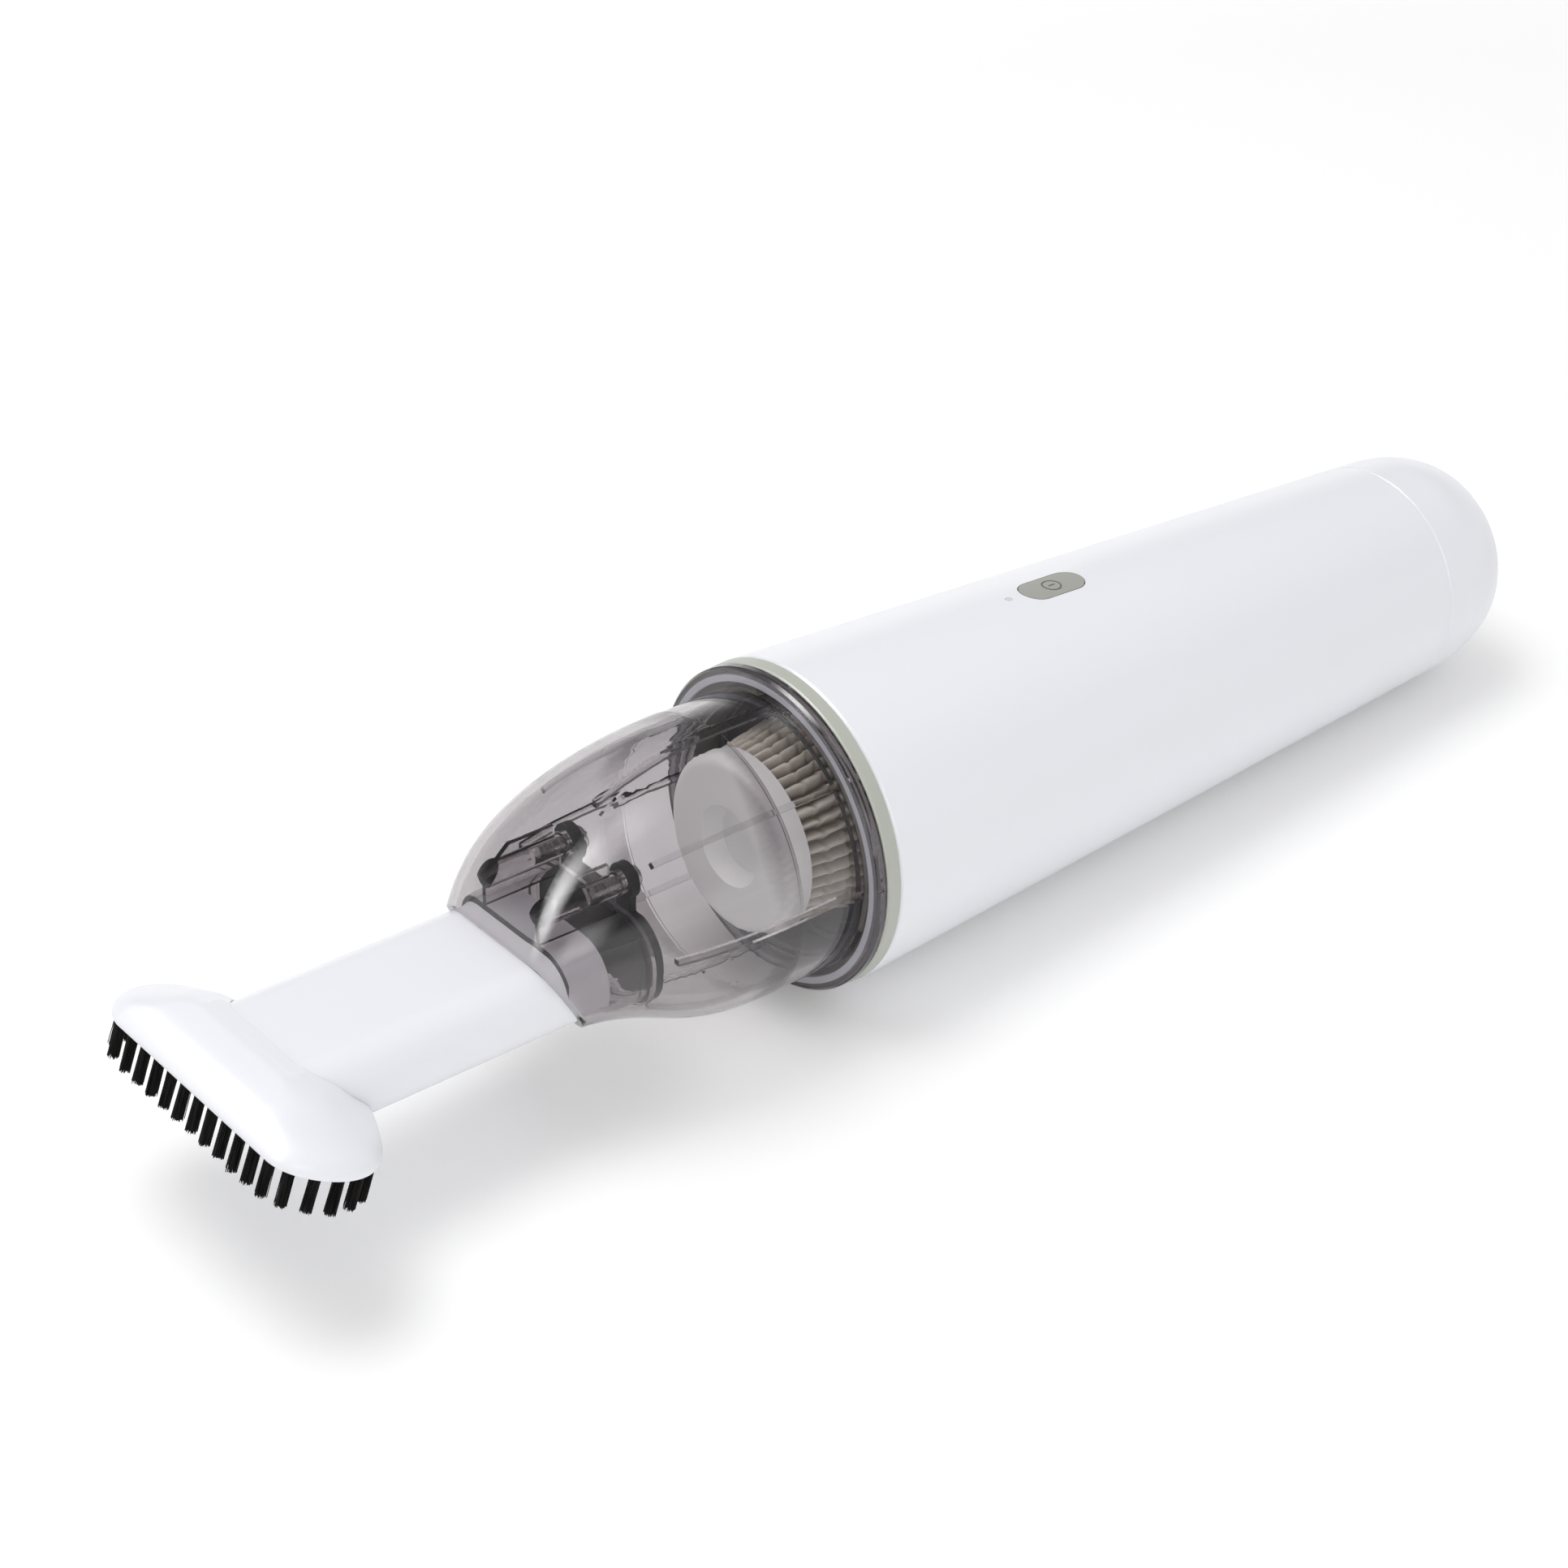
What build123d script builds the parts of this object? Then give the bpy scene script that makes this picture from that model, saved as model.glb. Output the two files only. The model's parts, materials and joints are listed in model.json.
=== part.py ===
"""Cordless handheld vacuum cleaner with a smoky dust cup, a flat nozzle and an oval brush hood.

Millimetres. +X runs along the body from the rear face to the nozzle, +Z is up (the button side).
The origin is the centre of the flat rear face.
"""
from build123d import *
import math
import os

# Clearances
gap = 0.1                     # flat faces, and pieces of one body
slip = 0.3                    # pieces that slide past each other
shaft_clearance = 0.04        # radial, shaft in bearing
press_clearance = 0.02        # radial, pieces pressed on the shaft

# Main housing and rear cap
front_radius = 37.5
housing_length = 185.0
housing_taper = 3.0
housing_wall = 2.2
edge_bevel = 0.6
seam_bevel = 0.3
cap_length = 28.0
cap_round_axial = 20.0
cap_round_radial = 13.0
cap_spigot_length = 6.0
cap_spigot_wall = 1.8
cap_spigot_root = 3.0

# Exhaust slots, charging socket and screws in the rear cap
vent_count = 22
vent_width = 1.8
vent_inner_radius = 9.5
vent_margin = 9.6             # from the cap's side to the slots' outer ends
vent_clear_of_screw = 24.0
vent_clear_of_socket = 36.0
socket_width = 9.0
socket_height = 3.3
socket_length = 7.0
socket_wall = 0.4
socket_drop = 8.5
charge_board_width = 14.0
charge_board_thickness = 1.2
rail_width = 1.6
screw_radius = 1.2
screw_head_radius = 2.4
screw_head_height = 1.6
screw_slot_width = 0.6
boss_wall = 1.5
cap_screw_offset = 10.0
cap_screw_seat = 20.0

# Front ring with its bayonet socket
ring_band = 3.4
ring_wall = 6.5               # from the outside to the socket's land
ring_taper_drop = 0.18
socket_land_length = 5.4
socket_track_depth = 1.6
socket_track_length = 5.0
socket_shoulder_width = 3.1
socket_shoulder_length = 2.6
skirt_length = 17.0
skirt_wall = 2.3

# Dust cup
flange_step = 0.3             # below the ring's radius
flange_width = 4.95           # from the flange's edge to the cup
flange_thickness = 2.6
collar_wall = 1.8
lug_count = 3
lug_angle = 16.0
lug_length = 2.4
lug_play_angle = 2.5
cup_wall = 1.8
cup_round_length = 16.25      # round stretch in front of the flange
cup_nose_length = 51.05       # from the end of the round stretch to the mouth's middle
mouth_rake = 0.58
mouth_lip = 1.3
cup_rib_count = 8
cup_rib_width = 1.3
cup_rib_height = 1.45
cup_rib_length = 46.0
tick_length = 1.6
tick_width = 0.6
tick_angle = 5.0

# Inlet duct, nozzle tube and flap valve
nozzle_width = 37.2
nozzle_height = 17.3
nozzle_corner = 7.2
nozzle_drop = 6.9
nozzle_wall = 1.8
nozzle_length = 72.3
spigot_length = 10.0          # of the nozzle, inside the mouth
duct_length = 20.6            # from the mouth's middle inwards
duct_wall = 1.5
duct_rim = 0.9
duct_rim_length = 1.6
post_offset = 9.2
post_height = 10.3
post_radius = 2.7
post_hole_depth = 9.0
post_rib_width = 1.2
flap_thickness = 2.0
flap_ear_radius = 4.0
flap_neck_width = 5.0
flap_overhang = 0.6
flap_bar_height = 2.4
washer_radius = 3.3
washer_thickness = 0.5
flap_screw_length = 10.0

# Filter
filter_margin = 5.0           # from the plug's radius to the folds
filter_taper = 2.4
pleat_count = 44
pleat_depth = 3.8
pleats_length = 16.0
end_cap_length = 6.0
end_cap_round = 2.4
end_cap_overhang = 0.5
end_cap_rim = 11.2            # from the end cap's edge to its dish
end_cap_dish_slope = 2.0
end_cap_dish_depth = 4.5
fold_margin = 1.0             # from the folds to the core
core_wall = 1.4
core_window_count = 8
core_window_width = 7.0
core_window_margin = 2.5
filter_plug_length = 7.0
filter_plug_wall = 2.0
filter_plug_floor = 1.6
filter_seal_thickness = 1.9

# Brush hood: the middle of its lower face and its outline
hood_forward = 65.5           # from the mouth's middle
hood_drop = 8.2
hood_tilt = 69.4              # bristle direction, below the nozzle's axis
hood_half_length = 37.8
hood_front = 12.7
hood_end_extra = 2.0
hood_rear_extra = 6.3
hood_corner = 9.1
hood_height = 11.4
hood_wall = 2.0
hood_ceiling = 8.6            # height of the hollow
hood_foot_height = 2.6
hood_foot_inset = 1.2
hood_foot_width = 4.2
sleeve_wall = 1.6
sleeve_setback = 3.0
bristle_slice = 0.8
bristle_inset = 1.1
bristle_strip = 2.4
bristle_length = 7.8
bristle_radius = 0.27
tuft_pitch = 5.0
tuft_columns = 5
tuft_rows = 3
strand_pitch = 0.72
strand_root = 0.3

# Levels of the hood's dome: share of the height, of the front, of the rear, and how much shorter each end is
hood_levels = (
    (0.0, 0.97, 0.985, 0.4),
    (0.105, 1.0, 1.015, 0.0),
    (0.30, 0.94, 1.08, 0.7),
    (0.52, 0.83, 0.94, 5.0),
    (0.745, 0.63, 0.72, 11.6),
    (0.92, 0.37, 0.42, 17.6),
    (1.0, 0.134, 0.168, 22.2),
)

# Power button, light and circuit board
button_distance = 75.7        # from the housing's front to the button's middle
button_length = 17.4
button_width = 8.2
button_travel = 0.8
button_play = 0.25
button_lip = 1.4
button_lip_thickness = 1.2
button_stem_radius = 2.0
button_stem_length = 1.28
light_distance = 62.6
light_radius = 0.75
light_foot_radius = 1.5
light_foot_height = 1.0
lamp_size = 2.0
lamp_height = 0.9
board_clearance = 2.2         # behind the board, to the battery holder
board_width = 26.0
board_thickness = 1.6
board_ahead = 17.0            # of the button's middle
board_post_radius = 2.2
board_post_reach = 9.0
board_post_spacing = 20.0
board_screw_radius = 0.9
board_screw_head = 1.8
switch_size = 6.0
switch_height = 3.5
plunger_radius = 1.75
plunger_height = 0.8

# Motor, fan and their housing
motor_cup_clearance = 2.6     # under the circuit board
motor_length = 40.0
motor_wall = 1.2
shaft_radius = 1.5
bearing_radius = 3.5
bearing_length = 3.0
bearing_boss_wall = 1.3
rotor_air_gap = 0.9
rotor_length = 22.0
rotor_slot_count = 7
magnet_thickness = 4.5
magnet_angle = 120.0
magnet_length = 26.0
motor_cup_play = 0.4
motor_cup_wall = 1.8
chamber_air = 2.07            # between the fan chamber and the housing
chamber_depth = 20.0
chamber_plate = 2.0
window_count = 8
window_margin = 1.9
fan_cover_thickness = 1.6
fan_eye_radius = 10.0
fan_eye_lip = 1.2
fan_eye_length = 3.6
eye_bar_width = 1.2
impeller_plate = 1.2
impeller_lift = 2.4
blade_height = 6.4
blade_count = 9
blade_thickness = 1.1
hub_radius = 5.0
hub_length = 9.0
diffuser_thickness = 2.0
diffuser_ring = 4.4           # between the impeller and the chamber's wall
diffuser_overhang = 1.2
vane_count = 13
vane_length = 9.6
vane_thickness = 1.2
cushion_front = 4.2
cushion_rear = 3.8
cushion_bore = 6.5

# Battery
cell_count = 3
cell_radius = 9.1
cell_length = 65.0
cell_gap = 0.35
tab_thickness = 0.3
tab_width = 6.0
holder_plate = 3.0
cell_cup_wall = 1.4
cell_cup_length = 4.0
cell_play = 0.2
spine_radius = 3.2
spine_margin = 2.62           # from a spine to the plate's edge
standoff_radius = 3.0
standoff_margin = 1.9         # from a standoff to the motor cup's edge
plate_hole_radius = 1.5
plate_hole_edge = 2.5
plate_hole_spread = 22.0

# Stations along the axis
x_seam = cap_length
x_front = cap_length + housing_length
x_band = x_front + ring_band
x_land_rear = x_band - socket_land_length
x_shoulder = x_land_rear - socket_track_length
x_shoulder_rear = x_shoulder - socket_shoulder_length
x_skirt = x_front - skirt_length
x_fan_cover = x_skirt - gap - fan_cover_thickness
x_flange = x_band + gap
x_cup = x_flange + flange_thickness
x_straight = x_cup + cup_round_length
x_mouth = x_straight + cup_nose_length
x_duct = x_mouth - duct_length
x_tip = x_mouth - spigot_length + nozzle_length
x_hood = x_mouth + hood_forward
x_button = x_front - button_distance
x_light = x_front - light_distance
taper_slope = math.tan(math.radians(housing_taper))

# Radii that follow from others
socket_land_radius = front_radius - ring_wall
track_radius = socket_land_radius + socket_track_depth
socket_shoulder_radius = socket_land_radius - socket_shoulder_width
flange_radius = front_radius - flange_step
cup_radius = flange_radius - flange_width
collar_radius = socket_land_radius - slip
plug_radius = socket_shoulder_radius - slip
filter_seal_radius = collar_radius - collar_wall - slip
filter_rear_radius = plug_radius - filter_margin
filter_front_radius = filter_rear_radius - filter_taper
end_cap_radius = filter_front_radius + end_cap_overhang
core_radius = filter_front_radius - pleat_depth - fold_margin
duct_grow = slip / 2 + duct_wall
duct_top = nozzle_height / 2 + duct_grow - nozzle_drop
far = 400.0


def body_radius(x):
    """Outer radius of the tapered body at a station."""
    return front_radius - (x_front - x) * taper_slope


def bore_radius(x):
    """Inner radius of the tapered housing at a station."""
    return body_radius(x) - housing_wall


def turned(*outline):
    """Solid of revolution about the X axis from (station, radius) points."""
    return revolve(Plane.XZ * make_face(Polyline(*outline, close=True)), Axis.X)


def tube(x0, x1, outer, inner=0.0):
    """Round tube or disc along X between two stations."""
    return turned((x0, inner), (x1, inner), (x1, outer), (x0, outer))


def prism(sketch, x0, x1, y=0.0, z=0.0):
    """Flat shape across the axis, drawn out between two stations."""
    return extrude(Plane.YZ.offset(x0) * Pos(y, z) * sketch, x1 - x0)


def rod(x0, x1, radius, y=0.0, z=0.0):
    """Round rod along X at a place off the axis."""
    return prism(Circle(radius), x0, x1, y, z)


def upright(sketch, z0, z1, x=0.0, y=0.0):
    """Flat shape seen from above, drawn upwards between two heights."""
    return extrude(Plane.XY.offset(z0) * Pos(x, y) * sketch, z1 - z0)


def nozzle_prism(x0, x1, grow):
    """Prism of the nozzle's outline, grown on all sides."""
    outline = RectangleRounded(nozzle_width + 2 * grow, nozzle_height + 2 * grow, nozzle_corner + grow)
    return prism(outline, x0, x1, 0, -nozzle_drop)


def around(shape, angles):
    """Copies of a shape turned about the X axis, from angles in degrees."""
    return [Rot(angle, 0, 0) * shape for angle in angles]


def evenly(count, start=0.0):
    """Angles spread evenly round a full turn."""
    return [start + 360.0 * k / count for k in range(count)]


def group(shapes):
    """Separate solids kept in one node."""
    return Compound(children=[solid for shape in shapes for solid in shape.solids()])


def wedge(radius, angle, x0, x1):
    """Wedge about the X axis, centred on +Z."""
    half = math.radians(angle / 2)
    side = radius * math.sin(half)
    top = radius * math.cos(half)
    outline = make_face([Line((0, 0), (side, top)), ThreePointArc((side, top), (0, radius), (-side, top)),
                         Line((-side, top), (0, 0))])
    return prism(outline, x0, x1)


def cross_slot(x0, x1, y, z):
    """Cross recess of a screw head."""
    bar = Rectangle(1.1 * screw_head_radius, screw_slot_width)
    return prism(bar + Rot(0, 0, 90) * bar, x0, x1, y, z)


def screw(x_seat, x_end, y, z, radius, pointing):
    """Screw along X: its head sits on the seat and its shank points to +X or -X."""
    x_top = x_seat - pointing * screw_head_height
    head = rod(min(x_seat, x_top), max(x_seat, x_top), screw_head_radius, y, z)
    outer = head.edges().group_by(Axis.X)[0 if pointing > 0 else -1]
    head = fillet(outer, screw_head_height * 0.4)
    shank = rod(min(x_seat, x_end), max(x_seat, x_end), radius, y, z)
    depth = screw_head_height / 2
    return head + shank - cross_slot(min(x_top, x_top + pointing * depth), max(x_top, x_top + pointing * depth), y, z)


# Main housing and power button

x_board_front = x_button + board_ahead
lip_top = math.sqrt(bore_radius(x_button - button_length / 2) ** 2 - (button_width / 2 + button_lip) ** 2) - gap
lip_base = lip_top - button_lip_thickness
stem_base = lip_base - button_stem_length
plunger_top = stem_base - button_travel - gap
switch_top = plunger_top - plunger_height
board_top = switch_top - switch_height
board_height = board_top - board_thickness


def seam_groove():
    """Fine groove round the body between the housing and the cap."""
    radius = body_radius(x_seam)
    return turned((x_seam - 2 * seam_bevel, radius + seam_bevel), (x_seam + 2 * seam_bevel, radius + seam_bevel),
                  (x_seam, radius - seam_bevel))


def main_housing():
    """Long tapered tube with the button window and the light hole."""
    housing = turned(
        (x_seam, bore_radius(x_seam)),
        (x_front, bore_radius(x_front)),
        (x_front, body_radius(x_front) - edge_bevel),
        (x_front - edge_bevel, body_radius(x_front)),
        (x_seam, body_radius(x_seam)),
    )
    window = SlotOverall(button_length + 2 * button_play, button_width + 2 * button_play)
    housing -= upright(window, board_top, front_radius + 1, x_button)
    housing -= upright(Circle(light_radius + gap), board_top, front_radius + 1, x_light)
    return housing - seam_groove()


def under_skin(sketch, z0, x):
    """Upright shape whose top follows the tapered body's surface."""
    skin = turned((x_seam, 0), (x_front, 0), (x_front, body_radius(x_front)), (x_seam, body_radius(x_seam)))
    return upright(sketch, z0, front_radius + 1, x) & skin


def power_button():
    """Flush pill with a lip behind the wall and a stem over the switch."""
    pill = under_skin(SlotOverall(button_length, button_width), lip_base, x_button)
    lip = SlotOverall(button_length + 2 * button_lip, button_width + 2 * button_lip)
    return pill + upright(lip, lip_base, lip_top, x_button) + upright(
        Circle(button_stem_radius), stem_base, lip_base, x_button)


def light_pipe():
    """Clear rod from the lamp to the body's surface, with a wider foot."""
    foot_base = board_top + lamp_height + gap
    pipe = under_skin(Circle(light_radius), foot_base, x_light)
    return pipe + upright(Circle(light_foot_radius), foot_base, foot_base + light_foot_height, x_light)


def indicator_light():
    """Small lamp on the board with a domed top."""
    body = upright(Rectangle(lamp_size, lamp_size * 0.6), board_top, board_top + lamp_height, x_light)
    return fillet(body.edges().group_by(Axis.Z)[-1], lamp_height * 0.25)


def board_post_places():
    """Places of the four posts under the circuit board."""
    middle = x_board_front - board_post_spacing / 2 - 2 * board_post_radius
    return [(middle + sx * board_post_spacing / 2, sy * board_post_reach) for sx in (-1, 1) for sy in (-1, 1)]


def circuit_board():
    """Board with screw holes and rounded corners."""
    board_length = x_board_front - x_plate - holder_plate - board_clearance
    plate = RectangleRounded(board_length, board_width, 2.0)
    board = upright(plate, board_height, board_top, x_board_front - board_length / 2)
    for x, y in board_post_places():
        board -= upright(Circle(board_screw_radius + gap), board_height - 1, board_top + 1, x, y)
    return board


def board_screws():
    """Four small screws through the board into the posts."""
    screws = []
    for x, y in board_post_places():
        head = upright(Circle(board_screw_head), board_top, board_top + board_screw_head * 0.7, x, y)
        head = fillet(head.edges().group_by(Axis.Z)[-1], board_screw_head * 0.3)
        shank = upright(Circle(board_screw_radius), board_height - 4.0, board_top, x, y)
        screws.append(head + shank)
    return group(screws)


def switch_body():
    """Push switch under the button: square case and round plunger."""
    case = upright(RectangleRounded(switch_size, switch_size, 0.5), board_top, switch_top, x_button)
    return case + upright(Circle(plunger_radius), switch_top, plunger_top, x_button)


# Rear cap and what it carries

x_round = cap_round_axial
round_radius = body_radius(x_round)
flat_radius = round_radius - cap_round_radial
vent_outer_radius = round_radius - vent_margin
quarter = 0.5523             # handle length of a quarter ellipse drawn as a Bezier curve
spigot_radius = bore_radius(x_seam) - gap
x_spigot = x_seam + cap_spigot_length
board_slot_top = -socket_drop - socket_height / 2 - gap


def dome(inset, x_open):
    """Solid rounded end, moved inwards by a wall."""
    lead = quarter * (cap_round_axial - inset)
    start = (x_round, round_radius - inset)
    curve = Bezier(start, (x_round - lead, start[1] - lead * taper_slope),
                   (inset, flat_radius + quarter * (cap_round_radial - inset)), (inset, flat_radius))
    side = Polyline((inset, flat_radius), (inset, 0), (x_open, 0), (x_open, body_radius(x_open) - inset), start)
    return revolve(Plane.XZ * make_face([curve] + list(side.edges())), Axis.X)


def vent_angles():
    """Angles of the exhaust slots, clear of the screws and the charging socket."""
    kept = []
    for angle in evenly(vent_count, 180.0 / vent_count):
        from_screw = min(abs(angle - 90), abs(angle - 270))
        if from_screw > vent_clear_of_screw and abs(angle - 180) > vent_clear_of_socket:
            kept.append(angle)
    return kept


def rear_cap():
    """Domed cap with spigot, screw bosses, board rails, exhaust slots and socket opening."""
    cap = dome(0.0, x_seam) - dome(housing_wall, x_seam + 1) - seam_groove()
    cap += tube(x_seam - cap_spigot_root, x_seam, body_radius(x_seam) - housing_wall / 2, spigot_radius - cap_spigot_wall)
    cap += tube(x_seam - cap_spigot_root, x_spigot, spigot_radius, spigot_radius - cap_spigot_wall)
    for side in (-1, 1):
        cap += rod(housing_wall / 2, x_spigot, screw_head_radius + gap + boss_wall, side * cap_screw_offset)
        rail_y = side * (charge_board_width / 2 + gap)
        rail = Rectangle(2 * rail_width, charge_board_thickness + 2 * rail_width)
        rail_z = board_slot_top - charge_board_thickness / 2
        cap += prism(rail, housing_wall / 2, x_seam, rail_y, rail_z)
        cap -= rod(-1, cap_screw_seat, screw_head_radius + gap, side * cap_screw_offset)
        cap -= rod(0, x_spigot + 1, screw_radius + gap, side * cap_screw_offset)
    cap -= prism(Rectangle(charge_board_width + 2 * gap, charge_board_thickness + 2 * gap), housing_wall, x_seam + 1,
                 0, board_slot_top - charge_board_thickness / 2)
    slot_middle = (vent_inner_radius + vent_outer_radius) / 2
    slot = Rot(0, 0, 90) * SlotOverall(vent_outer_radius - vent_inner_radius, vent_width)
    cap -= around(prism(slot, -1, housing_wall + 2.0, 0, slot_middle), vent_angles())
    opening = SlotOverall(socket_width + 2 * gap, socket_height + 2 * gap)
    return cap - prism(opening, -1, housing_wall + 1, 0, -socket_drop)


def cap_screws():
    """Two long screws that hold the cap to the battery holder."""
    x_end = x_spigot + gap + holder_plate - 0.5
    return group([screw(cap_screw_seat, x_end, side * cap_screw_offset, 0, screw_radius, 1) for side in (-1, 1)])


def charging_socket():
    """Metal shell of the charging socket with its tongue."""
    x_mouth_socket = edge_bevel
    x_back = x_mouth_socket + socket_length
    shell = prism(SlotOverall(socket_width, socket_height), x_mouth_socket, x_back, 0, -socket_drop)
    pocket = SlotOverall(socket_width - 2 * socket_wall, socket_height - 2 * socket_wall)
    shell -= prism(pocket, x_mouth_socket - 1, x_back - socket_wall, 0, -socket_drop)
    tongue = Rectangle(socket_width * 0.7, socket_height * 0.22)
    return shell + prism(tongue, 2 * x_mouth_socket, x_back, 0, -socket_drop)


def charging_board():
    """Board behind the socket, held in the cap's rails."""
    outline = Rectangle(charge_board_width, charge_board_thickness)
    z = board_slot_top - charge_board_thickness / 2
    return prism(outline, housing_wall + gap, x_spigot, 0, z)


# Battery pack

x_holder = x_spigot + gap
x_cells = x_holder + holder_plate + tab_thickness + 2 * gap
x_cells_end = x_cells + cell_length
x_plate = x_cells_end + tab_thickness + 2 * gap
cell_circle = (cell_radius + cell_gap / 2) / math.sin(math.pi / cell_count)
cell_angles = evenly(cell_count)
spine_angles = evenly(cell_count, 180.0 / cell_count)
spine_circle = bore_radius(x_holder) - gap - spine_radius - spine_margin


def cell_places(radius, x0, x1):
    """Rods at the cells' places."""
    return around(rod(x0, x1, radius, 0, cell_circle), cell_angles)


def holder_disc(x0):
    """End plate of the holder with its air holes."""
    radius = bore_radius(x0) - gap
    disc = tube(x0, x0 + holder_plate, radius)
    hole = rod(x0 - 1, x0 + holder_plate + 1, plate_hole_radius, 0, radius - plate_hole_edge)
    spread = [a + s * plate_hole_spread for a in cell_angles for s in (-1, 0, 1)]
    return disc - around(hole, spread)


def battery_holder():
    """Two end plates with cell cups, joined by spines, and standoffs towards the motor."""
    cup_rod = cell_radius + cell_play + cell_cup_wall
    holder = holder_disc(x_holder) + cell_places(cup_rod, x_holder + holder_plate / 2, x_cells + cell_cup_length)
    holder += holder_disc(x_plate)
    holder += cell_places(cup_rod, x_cells_end - cell_cup_length, x_plate + holder_plate / 2)
    holder -= cell_places(cell_radius + cell_play, x_holder + holder_plate, x_plate)
    tab_clearance = Rectangle(2 * cell_circle + tab_width, 2 * cell_circle + tab_width)
    holder += around(rod(x_holder + 1, x_plate + 1, spine_radius, 0, spine_circle), spine_angles)
    holder += around(rod(x_plate + 1, x_motor_floor - gap, standoff_radius, 0, standoff_circle), spine_angles)
    holder -= prism(tab_clearance, x_holder + holder_plate, x_cells) & tube(x_holder, x_cells, spine_circle - spine_radius)
    holder -= prism(tab_clearance, x_cells_end, x_plate) & tube(x_cells_end, x_plate, spine_circle - spine_radius)
    for side in (-1, 1):
        holder -= rod(x_holder - 1, x_holder + holder_plate, screw_radius + gap, side * cap_screw_offset)
    return holder


def battery_cells():
    """Three cells side by side in a triangle."""
    return group([fillet(cell.edges(), 0.6) for cell in cell_places(cell_radius, x_cells, x_cells_end)])


def battery_tabs():
    """Welded strips that join the cells in series."""
    reach = cell_circle * math.sqrt(3)
    strip = SlotOverall(reach + tab_width, tab_width)
    rear = prism(strip, x_cells - gap - tab_thickness, x_cells - gap, 0, -cell_circle / 2)
    front = prism(strip, x_cells_end + gap, x_cells_end + gap + tab_thickness, 0, -cell_circle / 2)
    return group([rear, Rot(-120, 0, 0) * front])


# Motor, fan and their housing

x_chamber = x_fan_cover - gap
x_chamber_rear = x_chamber - chamber_depth
x_diffuser = x_chamber_rear + chamber_plate + gap
x_motor = x_diffuser - cushion_front - 2 * gap
x_motor_rear = x_motor - motor_length
x_motor_cup = x_motor_rear - cushion_rear - 2 * gap
x_motor_floor = x_motor_cup - chamber_plate
x_impeller = x_diffuser + diffuser_thickness + impeller_lift
motor_cup_radius = board_height - motor_cup_clearance
motor_radius = motor_cup_radius - motor_cup_wall - motor_cup_play
magnet_outer_radius = motor_radius - motor_wall - gap
magnet_inner_radius = magnet_outer_radius - magnet_thickness
rotor_radius = magnet_inner_radius - rotor_air_gap
standoff_circle = motor_cup_radius - standoff_radius - standoff_margin
chamber_radius = bore_radius(x_chamber_rear) - chamber_air
chamber_bore = chamber_radius - motor_cup_wall
impeller_radius = chamber_bore - diffuser_ring
diffuser_radius = impeller_radius + diffuser_overhang
window_radius = (chamber_bore - motor_cup_radius) / 2 - window_margin


def fan_cover():
    """Plate over the impeller with its eye, a rear lip and guard bars."""
    radius = bore_radius(x_fan_cover) - gap
    cover = tube(x_fan_cover, x_skirt - gap, radius, fan_eye_radius)
    cover += tube(x_fan_cover - fan_eye_length, x_fan_cover, fan_eye_radius + fan_eye_lip, fan_eye_radius)
    bar = Rectangle(eye_bar_width, fan_eye_radius + fan_eye_lip / 2)
    cover += around(prism(bar, x_fan_cover, x_skirt - gap, 0, fan_eye_radius / 2), evenly(3))
    return cover + rod(x_fan_cover, x_skirt - gap, hub_radius / 2)


def motor_housing():
    """Fan chamber with its flange, the motor's cup behind it, exit windows and board posts."""
    body = tube(x_chamber - chamber_plate, x_chamber, bore_radius(x_chamber - chamber_plate) - gap, chamber_bore)
    body += tube(x_chamber_rear, x_chamber, chamber_radius, chamber_bore)
    body += tube(x_chamber_rear, x_chamber_rear + chamber_plate, chamber_radius, motor_cup_radius - motor_cup_wall)
    body += tube(x_motor_floor, x_chamber_rear + 1, motor_cup_radius, motor_cup_radius - motor_cup_wall)
    body += tube(x_motor_floor, x_motor_cup, motor_cup_radius, cushion_bore)
    window_circle = (motor_cup_radius + chamber_bore) / 2
    window = rod(x_chamber_rear - 1, x_chamber_rear + chamber_plate + 1, window_radius, 0, window_circle)
    body -= around(window, evenly(window_count))
    post_root = math.sqrt(motor_cup_radius ** 2 - (board_post_reach + board_post_radius) ** 2) - 1.0
    for x, y in board_post_places():
        body += upright(Circle(board_post_radius), post_root, board_height - gap, x, y)
        body -= upright(Circle(board_screw_radius + gap), board_height - 4.5, board_height, x, y)
    return body - rod(x_motor_cup, x_chamber_rear + chamber_plate, motor_cup_radius - motor_cup_wall)


def diffuser():
    """Plate behind the impeller with a ring of vanes."""
    plate = tube(x_diffuser, x_diffuser + diffuser_thickness, diffuser_radius, hub_radius)
    vane_inner = impeller_radius + 2 * slip
    vane_outer = chamber_bore - slip
    arc = SagittaArc((0, vane_inner), (2.0, vane_outer), 0.4)
    vane = extrude(Plane.YZ.offset(x_diffuser) * trace(arc, vane_thickness), vane_length)
    vane &= tube(x_diffuser, x_diffuser + vane_length, chamber_bore - gap)
    return plate + around(vane, evenly(vane_count))


def impeller():
    """Back plate with a hub and curved blades."""
    x_plate_front = x_impeller + impeller_plate
    wheel = tube(x_impeller, x_plate_front, impeller_radius)
    wheel += turned((x_impeller, 0), (x_impeller + hub_length, 0), (x_impeller + hub_length, hub_radius * 0.8),
                    (x_plate_front, hub_radius * 1.4), (x_impeller, hub_radius * 1.4))
    arc = SagittaArc((0, hub_radius), (impeller_radius * 0.42, impeller_radius * 0.86), -impeller_radius * 0.14)
    blade = extrude(Plane.YZ.offset(x_impeller + impeller_plate / 2) * trace(arc, blade_thickness),
                    blade_height + impeller_plate / 2)
    wheel += around(blade, evenly(blade_count))
    return wheel - rod(x_impeller - 1, x_impeller + hub_length + 1, shaft_radius + press_clearance)


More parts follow.
